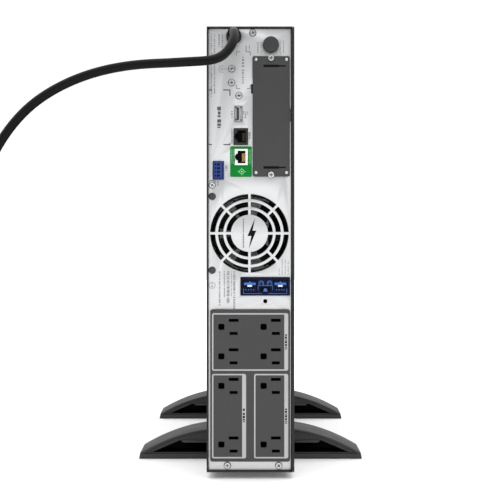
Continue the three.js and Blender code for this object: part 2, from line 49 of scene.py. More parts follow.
INK_LIFT = 0.05  # how far printing stands off its surface
scene = bpy.context.scene


def at(x, depth, z):
    """A point of the case's frame, in the row frame."""
    return TO_ROW @ Vector((x, depth, z))


class Span:
    """A CAD node's box in the case's frame."""

    def __init__(self, node):
        low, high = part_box(node)
        self.x0, self.x1 = low.x / MM, high.x / MM
        self.y0, self.y1 = (low.y - REAR) / MM, (high.y - REAR) / MM
        self.z0, self.z1 = low.z / MM, high.z / MM
        self.x, self.z = (self.x0 + self.x1) / 2, (self.z0 + self.z1) / 2
        self.r = (self.x1 - self.x0) / 2


PANEL = Span("rear_panel")
FACE = PANEL.y0  # depth of the rear panel's outer face
ON_FACE = FACE - 0.3  # where a flange, head or collar stops


# ---- camera ----
CAMERA_DISTANCE = 1026  # behind the case's rear edge
CAMERA_HEIGHT = 231


def make_camera():
    """Level, square to the rear panel, about a metre behind it at half its height."""
    data = bpy.data.cameras.new("camera")
    data.lens = 76.25
    data.sensor_width = 36
    data.shift_x = -0.001
    data.shift_y = -0.019
    data.clip_end = 50
    camera = bpy.data.objects.new("camera", data)
    camera.location = at(0, -CAMERA_DISTANCE, CAMERA_HEIGHT)
    camera.rotation_euler = (math.radians(90), 0, 0)
    scene.collection.objects.link(camera)
    scene.camera = camera


# ---- materials ----
def set_inputs(node, **values):
    """Set a node's inputs, whose names are given with _ for each space."""
    for name, value in values.items():
        node.inputs[name.replace("_", " ")].default_value = value


def look(name, colour, roughness, metallic=0.0, grain=0.3, grain_size=0.35, mottle=0.05, mottle_size=25,
         smudge=0.06, stretch=(1, 1, 1), coat=0.0, specular=0.5):
    """A surface with fine grain, slow changes of tone, and patches that shine a little more or less."""
    material = bpy.data.materials.new(name)
    material.use_nodes = True
    nodes, links = material.node_tree.nodes, material.node_tree.links
    shader = nodes["Principled BSDF"]
    set_inputs(shader, Metallic=metallic, Specular_IOR_Level=specular, Coat_Weight=coat, Coat_Roughness=0.08)
    place = nodes.new("ShaderNodeTexCoord")
    mapping = nodes.new("ShaderNodeMapping")
    set_inputs(mapping, Scale=stretch)
    links.new(place.outputs["Object"], mapping.inputs["Vector"])

    def noise(size, detail):
        node = nodes.new("ShaderNodeTexNoise")
        set_inputs(node, Scale=1 / (size * MM), Detail=detail)
        links.new(mapping.outputs["Vector"], node.inputs["Vector"])
        return node

    slow, fine = noise(mottle_size, 4), noise(grain_size, 2)
    tone = nodes.new("ShaderNodeValToRGB")
    tone.color_ramp.elements[0].position = 0.3
    tone.color_ramp.elements[1].position = 0.7
    tone.color_ramp.elements[0].color = (*(c * (1 - mottle) for c in colour), 1)
    tone.color_ramp.elements[1].color = (*(min(1, c * (1 + mottle)) for c in colour), 1)
    links.new(slow.outputs["Fac"], tone.inputs["Fac"])
    links.new(tone.outputs["Color"], shader.inputs["Base Color"])
    shine = nodes.new("ShaderNodeMapRange")
    set_inputs(shine, From_Min=0.3, From_Max=0.7, To_Min=max(0.02, roughness - smudge),
               To_Max=roughness + smudge)
    links.new(slow.outputs["Fac"], shine.inputs["Value"])
    links.new(shine.outputs["Result"], shader.inputs["Roughness"])
    bump = nodes.new("ShaderNodeBump")
    set_inputs(bump, Strength=grain, Distance=0.1 * MM)
    links.new(fine.outputs["Fac"], bump.inputs["Height"])
    links.new(bump.outputs["Normal"], shader.inputs["Normal"])
    return material


POWDER = look("powder_coat", (0.009, 0.009, 0.0098), 0.5, grain=0.5, grain_size=0.5, mottle=0.05,
              mottle_size=60, specular=0.3, smudge=0.025)
SILVER = look("silver_paint", (0.535, 0.54, 0.547), 0.3, metallic=0.6, grain=0.12, grain_size=0.2,
              mottle=0.012, mottle_size=80, smudge=0.03)
PANEL_PLASTIC = look("outlet_plastic", (0.04, 0.04, 0.041), 0.5, grain=0.3, grain_size=0.3, mottle=0.06,
                     mottle_size=40, specular=0.35)
COVER_PAINT = look("cover_paint", (0.037, 0.037, 0.038), 0.45, grain=0.25, grain_size=0.3, mottle=0.04,
                   mottle_size=50, specular=0.35)
JACK_BLACK = look("jack_plastic", (0.013, 0.013, 0.0135), 0.4, grain=0.15, mottle=0.08, mottle_size=6,
                  specular=0.3)
# Near-black painted shade for the insides of holes, jacks, connectors and outlets.
CAVITY_PAINTED_SHADE = look("cavity_painted_shade", (0.002, 0.002, 0.0022), 0.7, grain=0.2, mottle=0.2, specular=0.2)
DISC_GREY = look("breaker_plastic", (0.03, 0.03, 0.031), 0.5, grain=0.3, grain_size=0.3, mottle=0.06,
                 specular=0.3)
WHITE_PLASTIC = look("white_plastic", (0.82, 0.82, 0.8), 0.35, grain=0.1, mottle=0.02, mottle_size=6)
FAN_PLASTIC = look("fan_plastic", (0.003, 0.003, 0.0033), 0.45, grain=0.3, mottle=0.2, specular=0.25)
ZINC = look("zinc_plate", (0.52, 0.53, 0.54), 0.24, metallic=1, grain=0.15, grain_size=0.15, mottle=0.06,
            mottle_size=2, smudge=0.08)
DULL_ZINC = look("dull_zinc", (0.14, 0.14, 0.145), 0.42, metallic=1, grain=0.2, grain_size=0.15, mottle=0.1,
                 mottle_size=2, smudge=0.08)
SHELL_METAL = look("stamped_shell", (0.4, 0.4, 0.41), 0.35, metallic=1, grain=0.12, grain_size=0.2,
                   mottle=0.1, mottle_size=3, stretch=(1, 4, 1))
GILT = look("gilt_contact", (0.72, 0.42, 0.16), 0.28, metallic=1, grain=0.05, mottle=0.05, mottle_size=2)
BLUE_PLASTIC = look("blue_plastic", (0.016, 0.045, 0.2), 0.45, grain=0.15, mottle=0.1, mottle_size=5,
                    specular=0.25)
# A darker copy of the blue plastic: painted shade on the plug's body and inside the connectors.
BLUE_PAINTED_SHADE = look("blue_painted_shade", (0.012, 0.014, 0.14), 0.5, grain=0.15, mottle=0.15, mottle_size=4)
NAVY_PLASTIC = look("navy_plastic", (0.001, 0.0025, 0.022), 0.5, grain=0.2, mottle=0.15, mottle_size=8,
                    specular=0.12)
LINK_BLUE = look("link_blue", (0.05, 0.14, 0.42), 0.45, grain=0.15, mottle=0.1, mottle_size=4, specular=0.2)
LABEL_WHITE = look("label_white", (0.75, 0.8, 0.88), 0.5, grain=0.05, mottle=0.03)
NYLON = look("nylon_rivet", (0.045, 0.045, 0.046), 0.55, grain=0.3, mottle=0.12, mottle_size=3)
GREEN_LABEL = look("green_label", (0, 0.19, 0.024), 0.5, grain=0.05, mottle=0.06, mottle_size=14,
                   specular=0.1)
GREEN_PALE = look("green_print", (0.1, 0.42, 0.15), 0.45, grain=0.05, mottle=0.05)
GREEN_ICON = look("green_icon", (0.3, 0.66, 0.34), 0.45, grain=0.05, mottle=0.04)
INK = look("dark_ink", (0.06, 0.06, 0.062), 0.5, grain=0.05, mottle=0.1)
BLACK_INK = look("black_ink", (0.0015, 0.0015, 0.0016), 0.6, grain=0.05, mottle=0.1, specular=0.1)
GREY_INK = look("grey_ink", (0.2, 0.2, 0.205), 0.5, grain=0.05, mottle=0.1)
FRAME_INK = look("frame_ink", (0.4, 0.4, 0.4), 0.5, grain=0.08, mottle=0.06, mottle_size=40)
STAND_PLASTIC = look("stand_plastic", (0.028, 0.028, 0.0292), 0.5, grain=0.5, grain_size=0.45, mottle=0.08,
                     mottle_size=20, specular=0.35)
# A near-black copy of the stand plastic: painted shade deep in the stands' pockets.
STAND_PAINTED_SHADE = look("stand_recess_painted_shade", (0.0012, 0.0012, 0.0013), 0.7, grain=0.4, grain_size=0.45, mottle=0.1,
                  specular=0.1)
CORD_JACKET = look("cord_jacket", (0.0022, 0.0022, 0.0024), 0.42, grain=0.35, grain_size=0.4, mottle=0.15,
                   mottle_size=12, smudge=0.08, specular=0.12)
PLUG_PLASTIC = look("plug_plastic", (0.008, 0.008, 0.009), 0.42, grain=0.4, grain_size=0.4, mottle=0.15)
TIE_PLASTIC = look("tie_plastic", (0.05, 0.05, 0.053), 0.4, grain=0.15, mottle=0.08, mottle_size=4)
BEZEL_PLASTIC = look("bezel_plastic", (0.018, 0.0185, 0.02), 0.42, grain=0.5, grain_size=0.45, mottle=0.08,
                     mottle_size=40)
PIANO_BLACK = look("piano_black", (0.004, 0.0042, 0.005), 0.1, grain=0.02, mottle=0.1, coat=0.6)
WINDOW_GLASS = look("display_glass", (0.012, 0.022, 0.026), 0.06, grain=0.01, mottle=0.1, coat=1.0,
                    smudge=0.02)
KEY_PLASTIC = look("key_plastic", (0.035, 0.035, 0.038), 0.32, grain=0.15, mottle=0.08, mottle_size=3)
LCD_LIGHT = look("lcd_light", (0.1, 0.32, 0.36), 0.4, grain=0.02, mottle=0.03)
ICON_WHITE = look("icon_white", (0.6, 0.62, 0.62), 0.5, grain=0.05, mottle=0.04)
DULL_CONTACT = look("dull_contact", (0.09, 0.07, 0.045), 0.4, metallic=1, grain=0.05, mottle=0.05,
                    mottle_size=2)
BARE_METAL = look("bare_metal", (0.56, 0.57, 0.58), 0.35, metallic=1, grain=0.2, stretch=(1, 0.05, 1),
                  mottle=0.05)
BOARD_GREEN = look("solder_mask", (0.01, 0.09, 0.03), 0.35, grain=0.2, mottle=0.15, mottle_size=8)
WINDING = look("winding", (0.3, 0.13, 0.05), 0.35, metallic=0.6, grain=0.6, grain_size=0.8,
               stretch=(1, 0.1, 1))
BATTERY_GREY = look("battery_case", (0.08, 0.083, 0.088), 0.5, grain=0.4, mottle=0.08)


# ---- mesh helpers ----
def link_piece(name, mesh, material, body="chassis", slot=None, replaces=(), sharp=30):
    """Show a mesh that is already in the row frame as a piece that rides on a body."""
    mesh.materials.clear()
    mesh.materials.append(material)
    mesh.polygons.foreach_set("use_smooth", [True] * len(mesh.polygons))
    mesh.set_sharp_from_angle(angle=math.radians(sharp))
    obj = bpy.data.objects.new(name, mesh)
    scene.collection.objects.link(obj)
    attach(obj, body)
    if replaces:
        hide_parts(*replaces)
    return obj


def piece(name, bm, material, edge=0.0, flat=False, **facts):
    """A piece from a bmesh in millimetres in the case's frame. edge rounds its sharp edges, and flat is for
    printing, a single layer of faces that already look the right way."""
    bm.transform(TO_ROW)
    if not flat:
        bmesh.ops.recalc_face_normals(bm, faces=bm.faces)
    mesh = bpy.data.meshes.new(name)
    bm.to_mesh(mesh)
    bm.free()
    obj = link_piece(name, mesh, material, **facts)
    if edge:
        round_edges(obj, edge)
    return obj


def round_edges(obj, width, segments=2):
    bevel = obj.modifiers.new("edges", "BEVEL")
    bevel.width = width * MM
    bevel.segments = segments
    bevel.limit_method = "ANGLE"
    bevel.angle_limit = math.radians(35)
    bevel.harden_normals = True


def polar(x, z, r, degrees):
    """The point at a distance and direction from (x, z)."""
    a = math.radians(degrees)
    return x + r * math.cos(a), z + r * math.sin(a)


def circle(x, z, r, n=32):
    return [polar(x, z, r, 360 * i / n) for i in range(n)]


def rounded(x0, x1, z0, z1, r, n=5):
    """A rectangle's outline with round corners, anticlockwise."""
    if r <= 0:
        return [(x0, z0), (x1, z0), (x1, z1), (x0, z1)]
    corners = [(x1 - r, z1 - r, 0), (x0 + r, z1 - r, 90), (x0 + r, z0 + r, 180), (x1 - r, z0 + r, 270)]
    return [polar(x, z, r, turn + 90 * i / n) for x, z, turn in corners for i in range(n + 1)]


def around(span, by, r, n=5):
    """A span's outline in x and z with round corners, smaller all round."""
    return rounded(span.x0 + by, span.x1 - by, span.z0 + by, span.z1 - by, r, n)


def cross(x, z, arm, width, turn=45):
    """The outline of a cross recess."""
    h = width / 2
    corner = [(arm, -h), (arm, h), (h, h)]
    points = []
    for quarter in range(4):
        a = math.radians(turn + 90 * quarter)
        cos, sin = math.cos(a), math.sin(a)
        points += [(x + u * cos - v * sin, z + u * sin + v * cos) for u, v in corner]
    return points


def plate_piece(name, material, outlines, y0, y1, edge=0.0, steps=2, **facts):
    """A flat plate between two depths, with its edges rounded. Outlines inside the first are holes."""
    curve = bpy.data.curves.new("plate", "CURVE")
    curve.dimensions = "2D"
    curve.fill_mode = "BOTH"
    for outline in outlines:
        spline = curve.splines.new("POLY")
        spline.points.add(len(outline) - 1)
        for point, (x, z) in zip(spline.points, outline):
            point.co = (x, z, 0, 1)
        spline.use_cyclic_u = True
    curve.extrude = (y1 - y0) / 2 - edge
    curve.bevel_depth = edge
    curve.bevel_resolution = steps
    curve.offset = -edge
    holder = bpy.data.objects.new("plate", curve)
    scene.collection.objects.link(holder)
    bpy.context.view_layer.update()
    mesh = bpy.data.meshes.new_from_object(holder.evaluated_get(bpy.context.evaluated_depsgraph_get()))
    bpy.data.objects.remove(holder)
    bpy.data.curves.remove(curve)
    bm = bmesh.new()
    bm.from_mesh(mesh)
    bmesh.ops.remove_doubles(bm, verts=bm.verts, dist=1e-4)
    bmesh.ops.recalc_face_normals(bm, faces=bm.faces)
    upright = Matrix.Rotation(math.radians(90), 4, "X")
    bm.transform(TO_ROW @ Matrix.Translation((0, (y0 + y1) / 2, 0)) @ upright)
    bm.to_mesh(mesh)
    bm.free()
    link_piece(name, mesh, material, **facts)


def add_loft(bm, sections):
    """Add a solid through sections, which are pairs of a depth and an outline of as many points each."""
    rings = [[bm.verts.new((x, depth, z)) for x, z in outline] for depth, outline in sections]
    bm.faces.new(rings[0])
    bm.faces.new(rings[-1][::-1])
    for first, second in zip(rings, rings[1:]):
        for i in range(len(first)):
            k = (i + 1) % len(first)
            bm.faces.new((first[k], first[i], second[i], second[k]))


def add_prism(bm, outline, y0, y1):
    """Add a straight solid with a convex or concave outline between two depths."""
    add_loft(bm, [(y0, outline), (y1, outline)])


def add_box(bm, x0, x1, y0, y1, z0, z1):
    add_prism(bm, rounded(x0, x1, z0, z1, 0), y0, y1)


def block_piece(name, material, span, by, y0, y1, **facts):
    """A plain block behind a span's outline, smaller all round."""
    bm = bmesh.new()
    add_box(bm, span.x0 + by, span.x1 - by, y0, y1, span.z0 + by, span.z1 - by)
    piece(name, bm, material, **facts)


def add_lathe(bm, x, z, profile, n=40):
    """Add a turned solid along the depth axis. The profile is pairs of radius and depth."""
    rings = []
    for radius, depth in profile:
        if radius == 0:
            rings.append([bm.verts.new((x, depth, z))])
        else:
            rings.append([bm.verts.new((u, depth, w)) for u, w in circle(x, z, radius, n)])
    for first, second in zip(rings, rings[1:]):
        for i in range(n):
            k = (i + 1) % n
            corners = [ring[j % len(ring)] for ring, j in ((first, i), (first, k), (second, k), (second, i))]
            bm.faces.new(list(dict.fromkeys(corners)))


def turned_piece(name, material, x, z, profile, n=40, **facts):
    bm = bmesh.new()
    add_lathe(bm, x, z, profile, n)
    return piece(name, bm, material, **facts)


def dome(radius, depth, height, steps=5):
    """Profile points of a low dome that stands up to the rear from a depth."""
    angles = [math.radians(90 * i / steps) for i in range(steps + 1)]
    return [(radius * math.sin(a), depth - height * math.cos(a)) for a in angles]


# ---- printing ----
def add_shape(bm, outline, depth):
    bm.faces.new([bm.verts.new((x, depth, z)) for x, z in outline])


def add_bar(bm, x0, x1, z0, z1, depth):
    add_shape(bm, rounded(x0, x1, z0, z1, 0), depth)


def add_line(bm, points, width, depth, closed=False):
    """Add a printed line with mitred corners along points in x and z."""
    count = len(points)
    left, right = [], []
    for i, (x, z) in enumerate(points):
        before = points[i - 1] if i or closed else None
        after = points[(i + 1) % count] if i < count - 1 or closed else None
        ways = []
        if before:
            ways.append(Vector((x - before[0], z - before[1])).normalized())
        if after:
            ways.append(Vector((after[0] - x, after[1] - z)).normalized())
        normals = [Vector((-way.y, way.x)) for way in ways]
        middle = sum(normals, Vector((0, 0))).normalized()
        reach = width / 2 / max(0.4, middle.dot(normals[0]))
        left.append(bm.verts.new((x + middle.x * reach, depth, z + middle.y * reach)))
        right.append(bm.verts.new((x - middle.x * reach, depth, z - middle.y * reach)))
    for i in range(count if closed else count - 1):
        k = (i + 1) % count
        bm.faces.new((right[i], right[k], left[k], left[i]))


def add_arc(bm, x, z, r, width, start, end, depth, n=16):
    add_line(bm, [polar(x, z, r, start + (end - start) * i / n) for i in range(n + 1)], width, depth)


def add_print(bm, x0, x1, z0, z1, depth, seed, dash=1.3, gap=0.5):
    """Add a column of small dashes that stands for a line of fine print, read from top to bottom."""
    rng = random.Random(seed)
    z = z1
    while z > z0 + 0.5:
        length = min(dash * rng.uniform(0.5, 1.6), z - z0)
        trim = (x1 - x0) * rng.uniform(0, 0.25)
        add_bar(bm, x0 + trim * rng.random(), x1 - trim * rng.random(), z - length, z, depth)
        z -= length + gap * rng.choice((0.8, 1, 1, 2.4))


# ---- cord ----
GLAND = Span("cord_gland")
GLAND_Z = GLAND.z0 + GLAND.r  # the CAD flange is flat on top, so its box isn't centred on its axis
CORD_RADIUS = 4.3
COIL = Span("power_cord_coil")
COIL_DEPTH = (COIL.y0 + COIL.y1) / 2
COIL_RADIUS = COIL.r - 3.5 * CORD_RADIUS  # at the middle of its turns
CORD_ROUTE = [
    (-16.2, -16.3, 429.4), (-16.2, -26.8, 429.2), (-15.1, -37, 425.8), (-14.7, -47.2, 419.4),
    (-17.7, -57.3, 408.3), (-24.9, -63.4, 398.5), (-35.7, -72, 392.9), (-54.4, -77.3, 391.3),
    (-75.4, -75, 390.3), (-98.3, -67.5, 390.9), (-126, -63, 388), (-154, -60, 381), (-182, -60, 368),
    (-206, -62, 350), (-226, -65, 324), (-241, -68, 293), (-250, -71, 256), (-255, -73, 216),
    (-257, -75, 174), (-258, -77, 132), (-259, -78, 92), (-262, -79, 58), (-270, -80, 30), (-284, -80, 11),
    (-304, -80, 4.3),
]


def coil_points():
    """Control points of the coil: two and a half turns inwards on the floor, then as many outwards on top."""
    per_turn = 16
    layer, step_up, turns = 2.5, 0.25, 5.25
    pitch = 2 * CORD_RADIUS
    inner = COIL_RADIUS - pitch * (layer / 2)
    points = []
    for i in range(int(turns * per_turn) + 1):
        t = i / per_turn
        rise = min(1, max(0, (t - layer) / step_up))
        rise = rise * rise * (3 - 2 * rise)
        radius = inner + pitch * (max(0, layer - t) + max(0, t - layer - step_up))
        radius *= 3 / (2 + math.cos(2 * math.pi / per_turn))  # a B-spline runs inside its control points
        points.append((*polar(COIL.x, COIL_DEPTH, radius, -90 - 360 * t), CORD_RADIUS + pitch * rise))
    return points


PLUG = Span("power_plug")
PLUG_Z = CORD_RADIUS * 3


def make_cord():
    tail = [(PLUG.x, COIL_DEPTH + d, PLUG_Z) for d in (11, 23, PLUG.y0 - COIL_DEPTH)]
    points = CORD_ROUTE + coil_points() + tail
    curve = bpy.data.curves.new("mains_lead", "CURVE")
    curve.dimensions = "3D"
    spline = curve.splines.new("NURBS")
    spline.points.add(len(points) - 1)
    for point, place in zip(spline.points, points):
        point.co = (*at(*place), 1)
    spline.order_u = 4
    spline.use_endpoint_u = True
    spline.resolution_u = 8
    curve.bevel_depth = CORD_RADIUS * MM
    curve.bevel_resolution = 6
    curve.use_fill_caps = True
    curve.materials.append(CORD_JACKET)
    cord = bpy.data.objects.new("mains_lead", curve)
    scene.collection.objects.link(cord)
    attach(cord, "chassis")
    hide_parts("power_cord", "power_cord_coil")
    parts = [make_gland(), make_tie(), *make_plug()]


def guard_ribs(start, pitch, count, radius, growth, along):
    """Profile points of a cord guard's ribs, each with a groove before it. along holds the depths where the
    groove starts and ends and where the rib starts and ends."""
    points = []
    for i in range(count):
        swell = radius + growth * i
        radii = (swell - 0.7, swell - 0.7, swell, swell)
        points += [(r, start + i * pitch + step) for r, step in zip(radii, along)]
    return points


def make_gland():
    """Strain relief: a round flange, and a short sleeve with rings."""
    end = GLAND.y0
    profile = [(0, end), (5.5, end), (5.9, end + 0.4), (6, end + 1.2)]
    profile += guard_ribs(end + 1.8, 2.9, 4, 6.1, 0.15, (0, 0.9, 1.2, 2.4))
    profile += [(6.8, 0.2), (6.8, 0.9), (7.4, 1.1), (7.5, ON_FACE), (6.2, ON_FACE), (6.2, 9), (0, 9)]
    return turned_piece("strain_relief", CORD_JACKET, GLAND.x, GLAND_Z, profile, slot="cord",
                        replaces=["cord_gland"])


def make_tie():
    """A plastic strap round the coil's turns, with its small head on top."""
    bm = bmesh.new()
    low, high = 0.3, 2 * CORD_RADIUS * 2 + 0.9
    inner, outer = COIL_RADIUS - 3.5 * CORD_RADIUS - 0.9, COIL.r + 0.9
    wide, thick = 4.5, 0.9
    y0, y1 = COIL_DEPTH - wide / 2, COIL_DEPTH + wide / 2
    for x0, x1, z0, z1 in ((inner, inner + thick, low, high), (outer - thick, outer, low, high),
                           (inner, outer, low, low + thick), (inner, outer, high - thick, high)):
        add_box(bm, COIL.x + x0, COIL.x + x1, y0, y1, z0, z1)
    add_box(bm, COIL.x + inner + 9, COIL.x + inner + 16, y0 - 1.2, y1 + 1.2, high - 0.4, high + 3)
    return piece("coil_tie", bm, TIE_PLASTIC, edge=0.25, slot="cord")


def make_plug():
    """A moulded straight-blade plug with a ribbed neck, finger ridges and a ground pin."""
    neck, face = PLUG.y0, PLUG.y0 + 58
    profile = [(0, neck), (4.8, neck), (5.3, neck + 0.6)]
    profile += guard_ribs(neck + 2, 3.6, 5, 5.4, 0.25, (0, 1.2, 1.6, 3))
    profile += [(7.2, neck + 23), (7.2, neck + 26), (0, neck + 26)]
    strain = turned_piece("plug_neck", PLUG_PLASTIC, PLUG.x, PLUG_Z, profile, 32, slot="plug",
                          replaces=["power_plug"])
    body = bmesh.new()
    sections = []
    for step, half in ((22, 8.5), (25, 10.4), (30, 11.4), (38, 11), (45, 11.2), (50, 12.3), (57.2, 12.6),
                       (58, 12)):
        outline = rounded(PLUG.x - half, PLUG.x + half, PLUG_Z - half, PLUG_Z + half, half * 0.62, 6)
        sections.append((neck + step, outline))
    add_loft(body, sections)
    for i in range(4):
        for side in (-1, 1):
            x = PLUG.x + side * 11.1
            add_box(body, x - 0.7, x + 0.7, neck + 31 + 3.4 * i, neck + 32.6 + 3.4 * i, PLUG_Z - 6,
                    PLUG_Z + 6)
    grip = piece("plug_body", body, PLUG_PLASTIC, edge=0.3, slot="plug")
    metal = bmesh.new()
    for side in (-1, 1):
        x, z0 = PLUG.x + side * BLADE_SPREAD, PLUG_Z - 6
        blade = rounded(x - 0.75, x + 0.75, z0, PLUG_Z + 0.3, 0)
        add_prism(metal, blade, face - 4, face + 15.5)
        tip = [(x + (u - x) * 0.7, z0 + (w - z0) * 0.8 + 0.6) for u, w in blade]
        add_prism(metal, tip, face + 15.4, face + 16.8)
    add_lathe(metal, PLUG.x, PLUG_Z + 7.9, [(0, face - 4), (2.4, face - 4), (2.4, face + 17.5),
                                            (1.9, face + 19.2), (0.8, face + 19.9), (0, face + 20)], 24)
    blades = piece("plug_blades", metal, ZINC, edge=0.12, slot="plug")
    return strain, grip, blades


# ---- fasteners ----
def make_screw(node, washer=True):
    """A pan-head screw with a cross recess, on a washer where it holds a panel or an earth wire."""
    span = Span(node)
    front, turn = span.y0, 20 + 37 * (len(node) % 5)
    under = ON_FACE if span.y1 > 9 else 1.8
    head = span.r * (0.82 if washer else 1)
    recess = cross(span.x, span.z, head * 0.56, head * 0.27, turn)
    plate_piece(node + "_head", ZINC, [circle(span.x, span.z, head), recess], front, front + 1.1, 0.4, 4,
                slot="screw", replaces=[node])
    profile = [(0, front + 0.85), (head * 0.9, front + 0.85), (head, front + 0.9), (head, under),
               (1.5, under), (1.5, span.y1), (0, span.y1)]
    turned_piece(node + "_core", DULL_ZINC, span.x, span.z, profile, slot="screw")
    if washer:
        ring = [circle(span.x, span.z, span.r, 40), circle(span.x, span.z, head * 0.6, 40)]
        plate_piece(node + "_washer", DULL_ZINC, ring, under - 0.45, under, 0.15, slot="screw")


def make_rivet(node):
    """A nylon push rivet: a low head with its centre pin pressed in."""
    span = Span(node)
    y0, r = span.y0, span.r
    profile = [(0, y0 + 0.5), (1.5, y0 + 0.5), (1.6, y0 + 0.9), (2, y0 + 0.9), (2.1, y0 + 0.1),
               (r * 0.86, y0 + 0.35), (r, y0 + 1), (r, ON_FACE), (1.8, ON_FACE), (1.8, span.y1), (0, span.y1)]
    turned_piece(node + "_head", NYLON, span.x, span.z, profile, slot="rivet", replaces=[node])


def make_fasteners():
    for place in ("top", "upper", "side", "lower_left", "lower_right"):
        make_screw("panel_screw_" + place)
    for i in (1, 2):
        make_screw(f"ground_screw_{i}")
        make_rivet(f"push_rivet_{i}")
    for place in ("top", "bottom"):
        make_screw("slot_screw_" + place, washer=False)


# ---- rear panel ----
FAN_X, FAN_Z = Span("fan_frame").x, Span("fan_frame").z
PORTS = ("usb_port", "serial_port", "network_port", "epo_header", "battery_link_housing")
OUTLETS = Span("outlet_panel")
COVER = Span("slot_cover")
COVER_X1 = COVER.x1 - 0.8  # without its tab
SPOKE = 2.5
GRILLE_RINGS = ((18.1, 22.8, 4), (25.5, 30.5, 8), (33.3, 38.2, 8))  # inner and outer radius, spokes
FINGER_NOTCH = (0.6, 3.9, 373.8, 383.1)
PIN_HOLE = (14.4, 172, 2)


def grille_slot(inner, outer, start, end):
    """One slot of the fan grille, between two spokes of even width."""
    points = []
    for radius, way in ((outer, 1), (inner, -1)):
        trim = math.degrees(math.asin(SPOKE / 2 / radius))
        a0, a1 = start + trim, end - trim
        steps = [a0 + (a1 - a0) * i / 12 for i in range(13)][::way]
        points += [polar(FAN_X, FAN_Z, radius, a) for a in steps]
    return points


def make_rear_panel():
    holes = []
    for inner, outer, spokes in GRILLE_RINGS:
        step = 360 / spokes
        holes += [grille_slot(inner, outer, i * step, (i + 1) * step) for i in range(spokes)]
    for node in PORTS:
        holes.append(around(Span(node), -0.3, 0.3, 2))
    holes.append(around(OUTLETS, 2, 1, 3))
    holes.append(rounded(COVER.x0 + 4, COVER_X1 - 4, COVER.z0 + 4, COVER.z1 - 4, 1, 3))
    holes.append(circle(*PIN_HOLE, 20))
    holes.append(rounded(*FINGER_NOTCH, 0.3, 2))
    holes.append(circle(GLAND.x, GLAND_Z, 6.5))
    breaker = Span("breaker_body")
    holes.append(circle(breaker.x, BREAKER_Z, 6.3))
    outline = rounded(PANEL.x0, PANEL.x1, PANEL.z0, PANEL.z1, 0.5, 2)
    plate_piece("rear_sheet", SILVER, [outline, *holes], PANEL.y0, PANEL.y1, 0.15, slot="panel",
                replaces=["rear_panel", "port_plate"])


def make_emblem():
    """A plain bolt on the grille's hub, with a line of fine print beside it."""
    bm = bmesh.new()
    depth = FACE - INK_LIFT
    x, z = FAN_X + 2.4, FAN_Z
    bolt = [(3, 14.8), (-4.3, -2.6), (-0.6, -2.6), (-3, -14.8), (4.3, 2.6), (0.6, 2.6)]
    add_shape(bm, [(x + u, z + w) for u, w in bolt], depth)
    piece("grille_emblem", bm, BLACK_INK, flat=True)
    fine = bmesh.new()
    add_print(fine, FAN_X - 6.6, FAN_X - 5.2, FAN_Z - 14.5, FAN_Z + 14.5, depth, 11, dash=1.6, gap=0.4)
    piece("grille_fine_print", fine, GREY_INK, flat=True)


def add_brackets(bm, x0, x1, z0, z1, reach, width, depth):
    """Add the corner marks of a label's place."""
    for x, dx in ((x0, 1), (x1, -1)):
        for z, dz in ((z0, 1), (z1, -1)):
            add_line(bm, [(x + dx * reach, z), (x, z), (x, z + dz * reach)], width, depth)


def make_panel_printing():
    depth = FACE - INK_LIFT
    dark, pale = bmesh.new(), bmesh.new()
    add_brackets(pale, -13.7, -0.1, 378.8, 414.5, 3.6, 0.8, depth)
    for z in (377.4, 324.3):  # the place of a larger label, beside the left edge
        add_line(dark, [(-40.6, z), (-37.4, z)], 1.1, depth)
    add_line(dark, [(-26.4, 377.4), (-20, 377.4), (-20, 371.6)], 1.1, depth)
    add_line(dark, [(-26.4, 324.3), (-20, 324.3), (-20, 325.8)], 1.1, depth)
    add_print(pale, -8.4, -6.2, 383.6, 409.6, depth, 21, dash=1.3, gap=1.1)
    add_print(dark, -32.4, -28.6, 340.5, 361.2, depth, 22, dash=2.4, gap=0.9)
    piece("panel_marks", dark, INK, flat=True)

    columns = [
        (-38.6, -37.4, 370, 432), (-35.7, -34.3, 374, 432), (-31.4, -29.6, 418.5, 431.5),
        (-28.2, -26.5, 418.8, 431.5), (-5, -3.5, 413.6, 420.5), (-1.6, -0.6, 413.8, 421),
        (6.6, 7.8, 412.5, 424), (9.8, 10.6, 411.8, 424), (28.6, 29.4, 412.3, 425.5),
        (31.6, 32.5, 412.3, 425.5), (-18.9, -17.2, 350.6, 356.8), (-18.9, -17.3, 325.4, 339.6),
        (-2.1, 0.2, 329, 336.6), (-25, -21.9, 298.6, 304), (-32.4, -30.8, 284, 288.8),
        (-30.9, -29.2, 167, 201), (-26.1, -24.7, 176, 201), (-23.2, -20.3, 170, 201),
        (-19, -18.1, 176, 201), (-16.9, -14.7, 164.5, 201), (27.5, 28.3, 197, 204), (30.3, 31.2, 197, 213),
        (33.3, 34.2, 197, 212), (36.2, 37, 197, 211),
    ]
    for seed, column in enumerate(columns):
        add_print(pale, *column, depth, seed, dash=0.9, gap=0.45)
    add_arc(pale, -37.3, 187.4, 3, 0.5, 0, 360, depth, 28)
    add_line(pale, [(-38.6, 186.4), (-36, 186.4)], 0.5, depth)
    add_line(pale, [(-37.3, 185.6), (-37.3, 189.6)], 0.5, depth)
    add_arc(pale, -37.6, 284.6, 4.9, 0.9, 40, 165, depth)
    add_ground_mark(pale, -27.6, 397.8, depth)
    add_trident(pale, -4.6, 354, depth)
    piece("panel_fine_print", pale, GREY_INK, flat=True)


def add_ground_mark(bm, x, z, depth):
    """Add the earth symbol in a part ring."""
    add_arc(bm, x, z, 3.3, 0.45, 60, 300, depth)
    add_line(bm, [(x, z), (x + 4.2, z)], 0.5, depth)
    for i, half in enumerate((2.2, 1.4, 0.6)):
        add_line(bm, [(x - i * 0.9, z - half), (x - i * 0.9, z + half)], 0.4, depth)


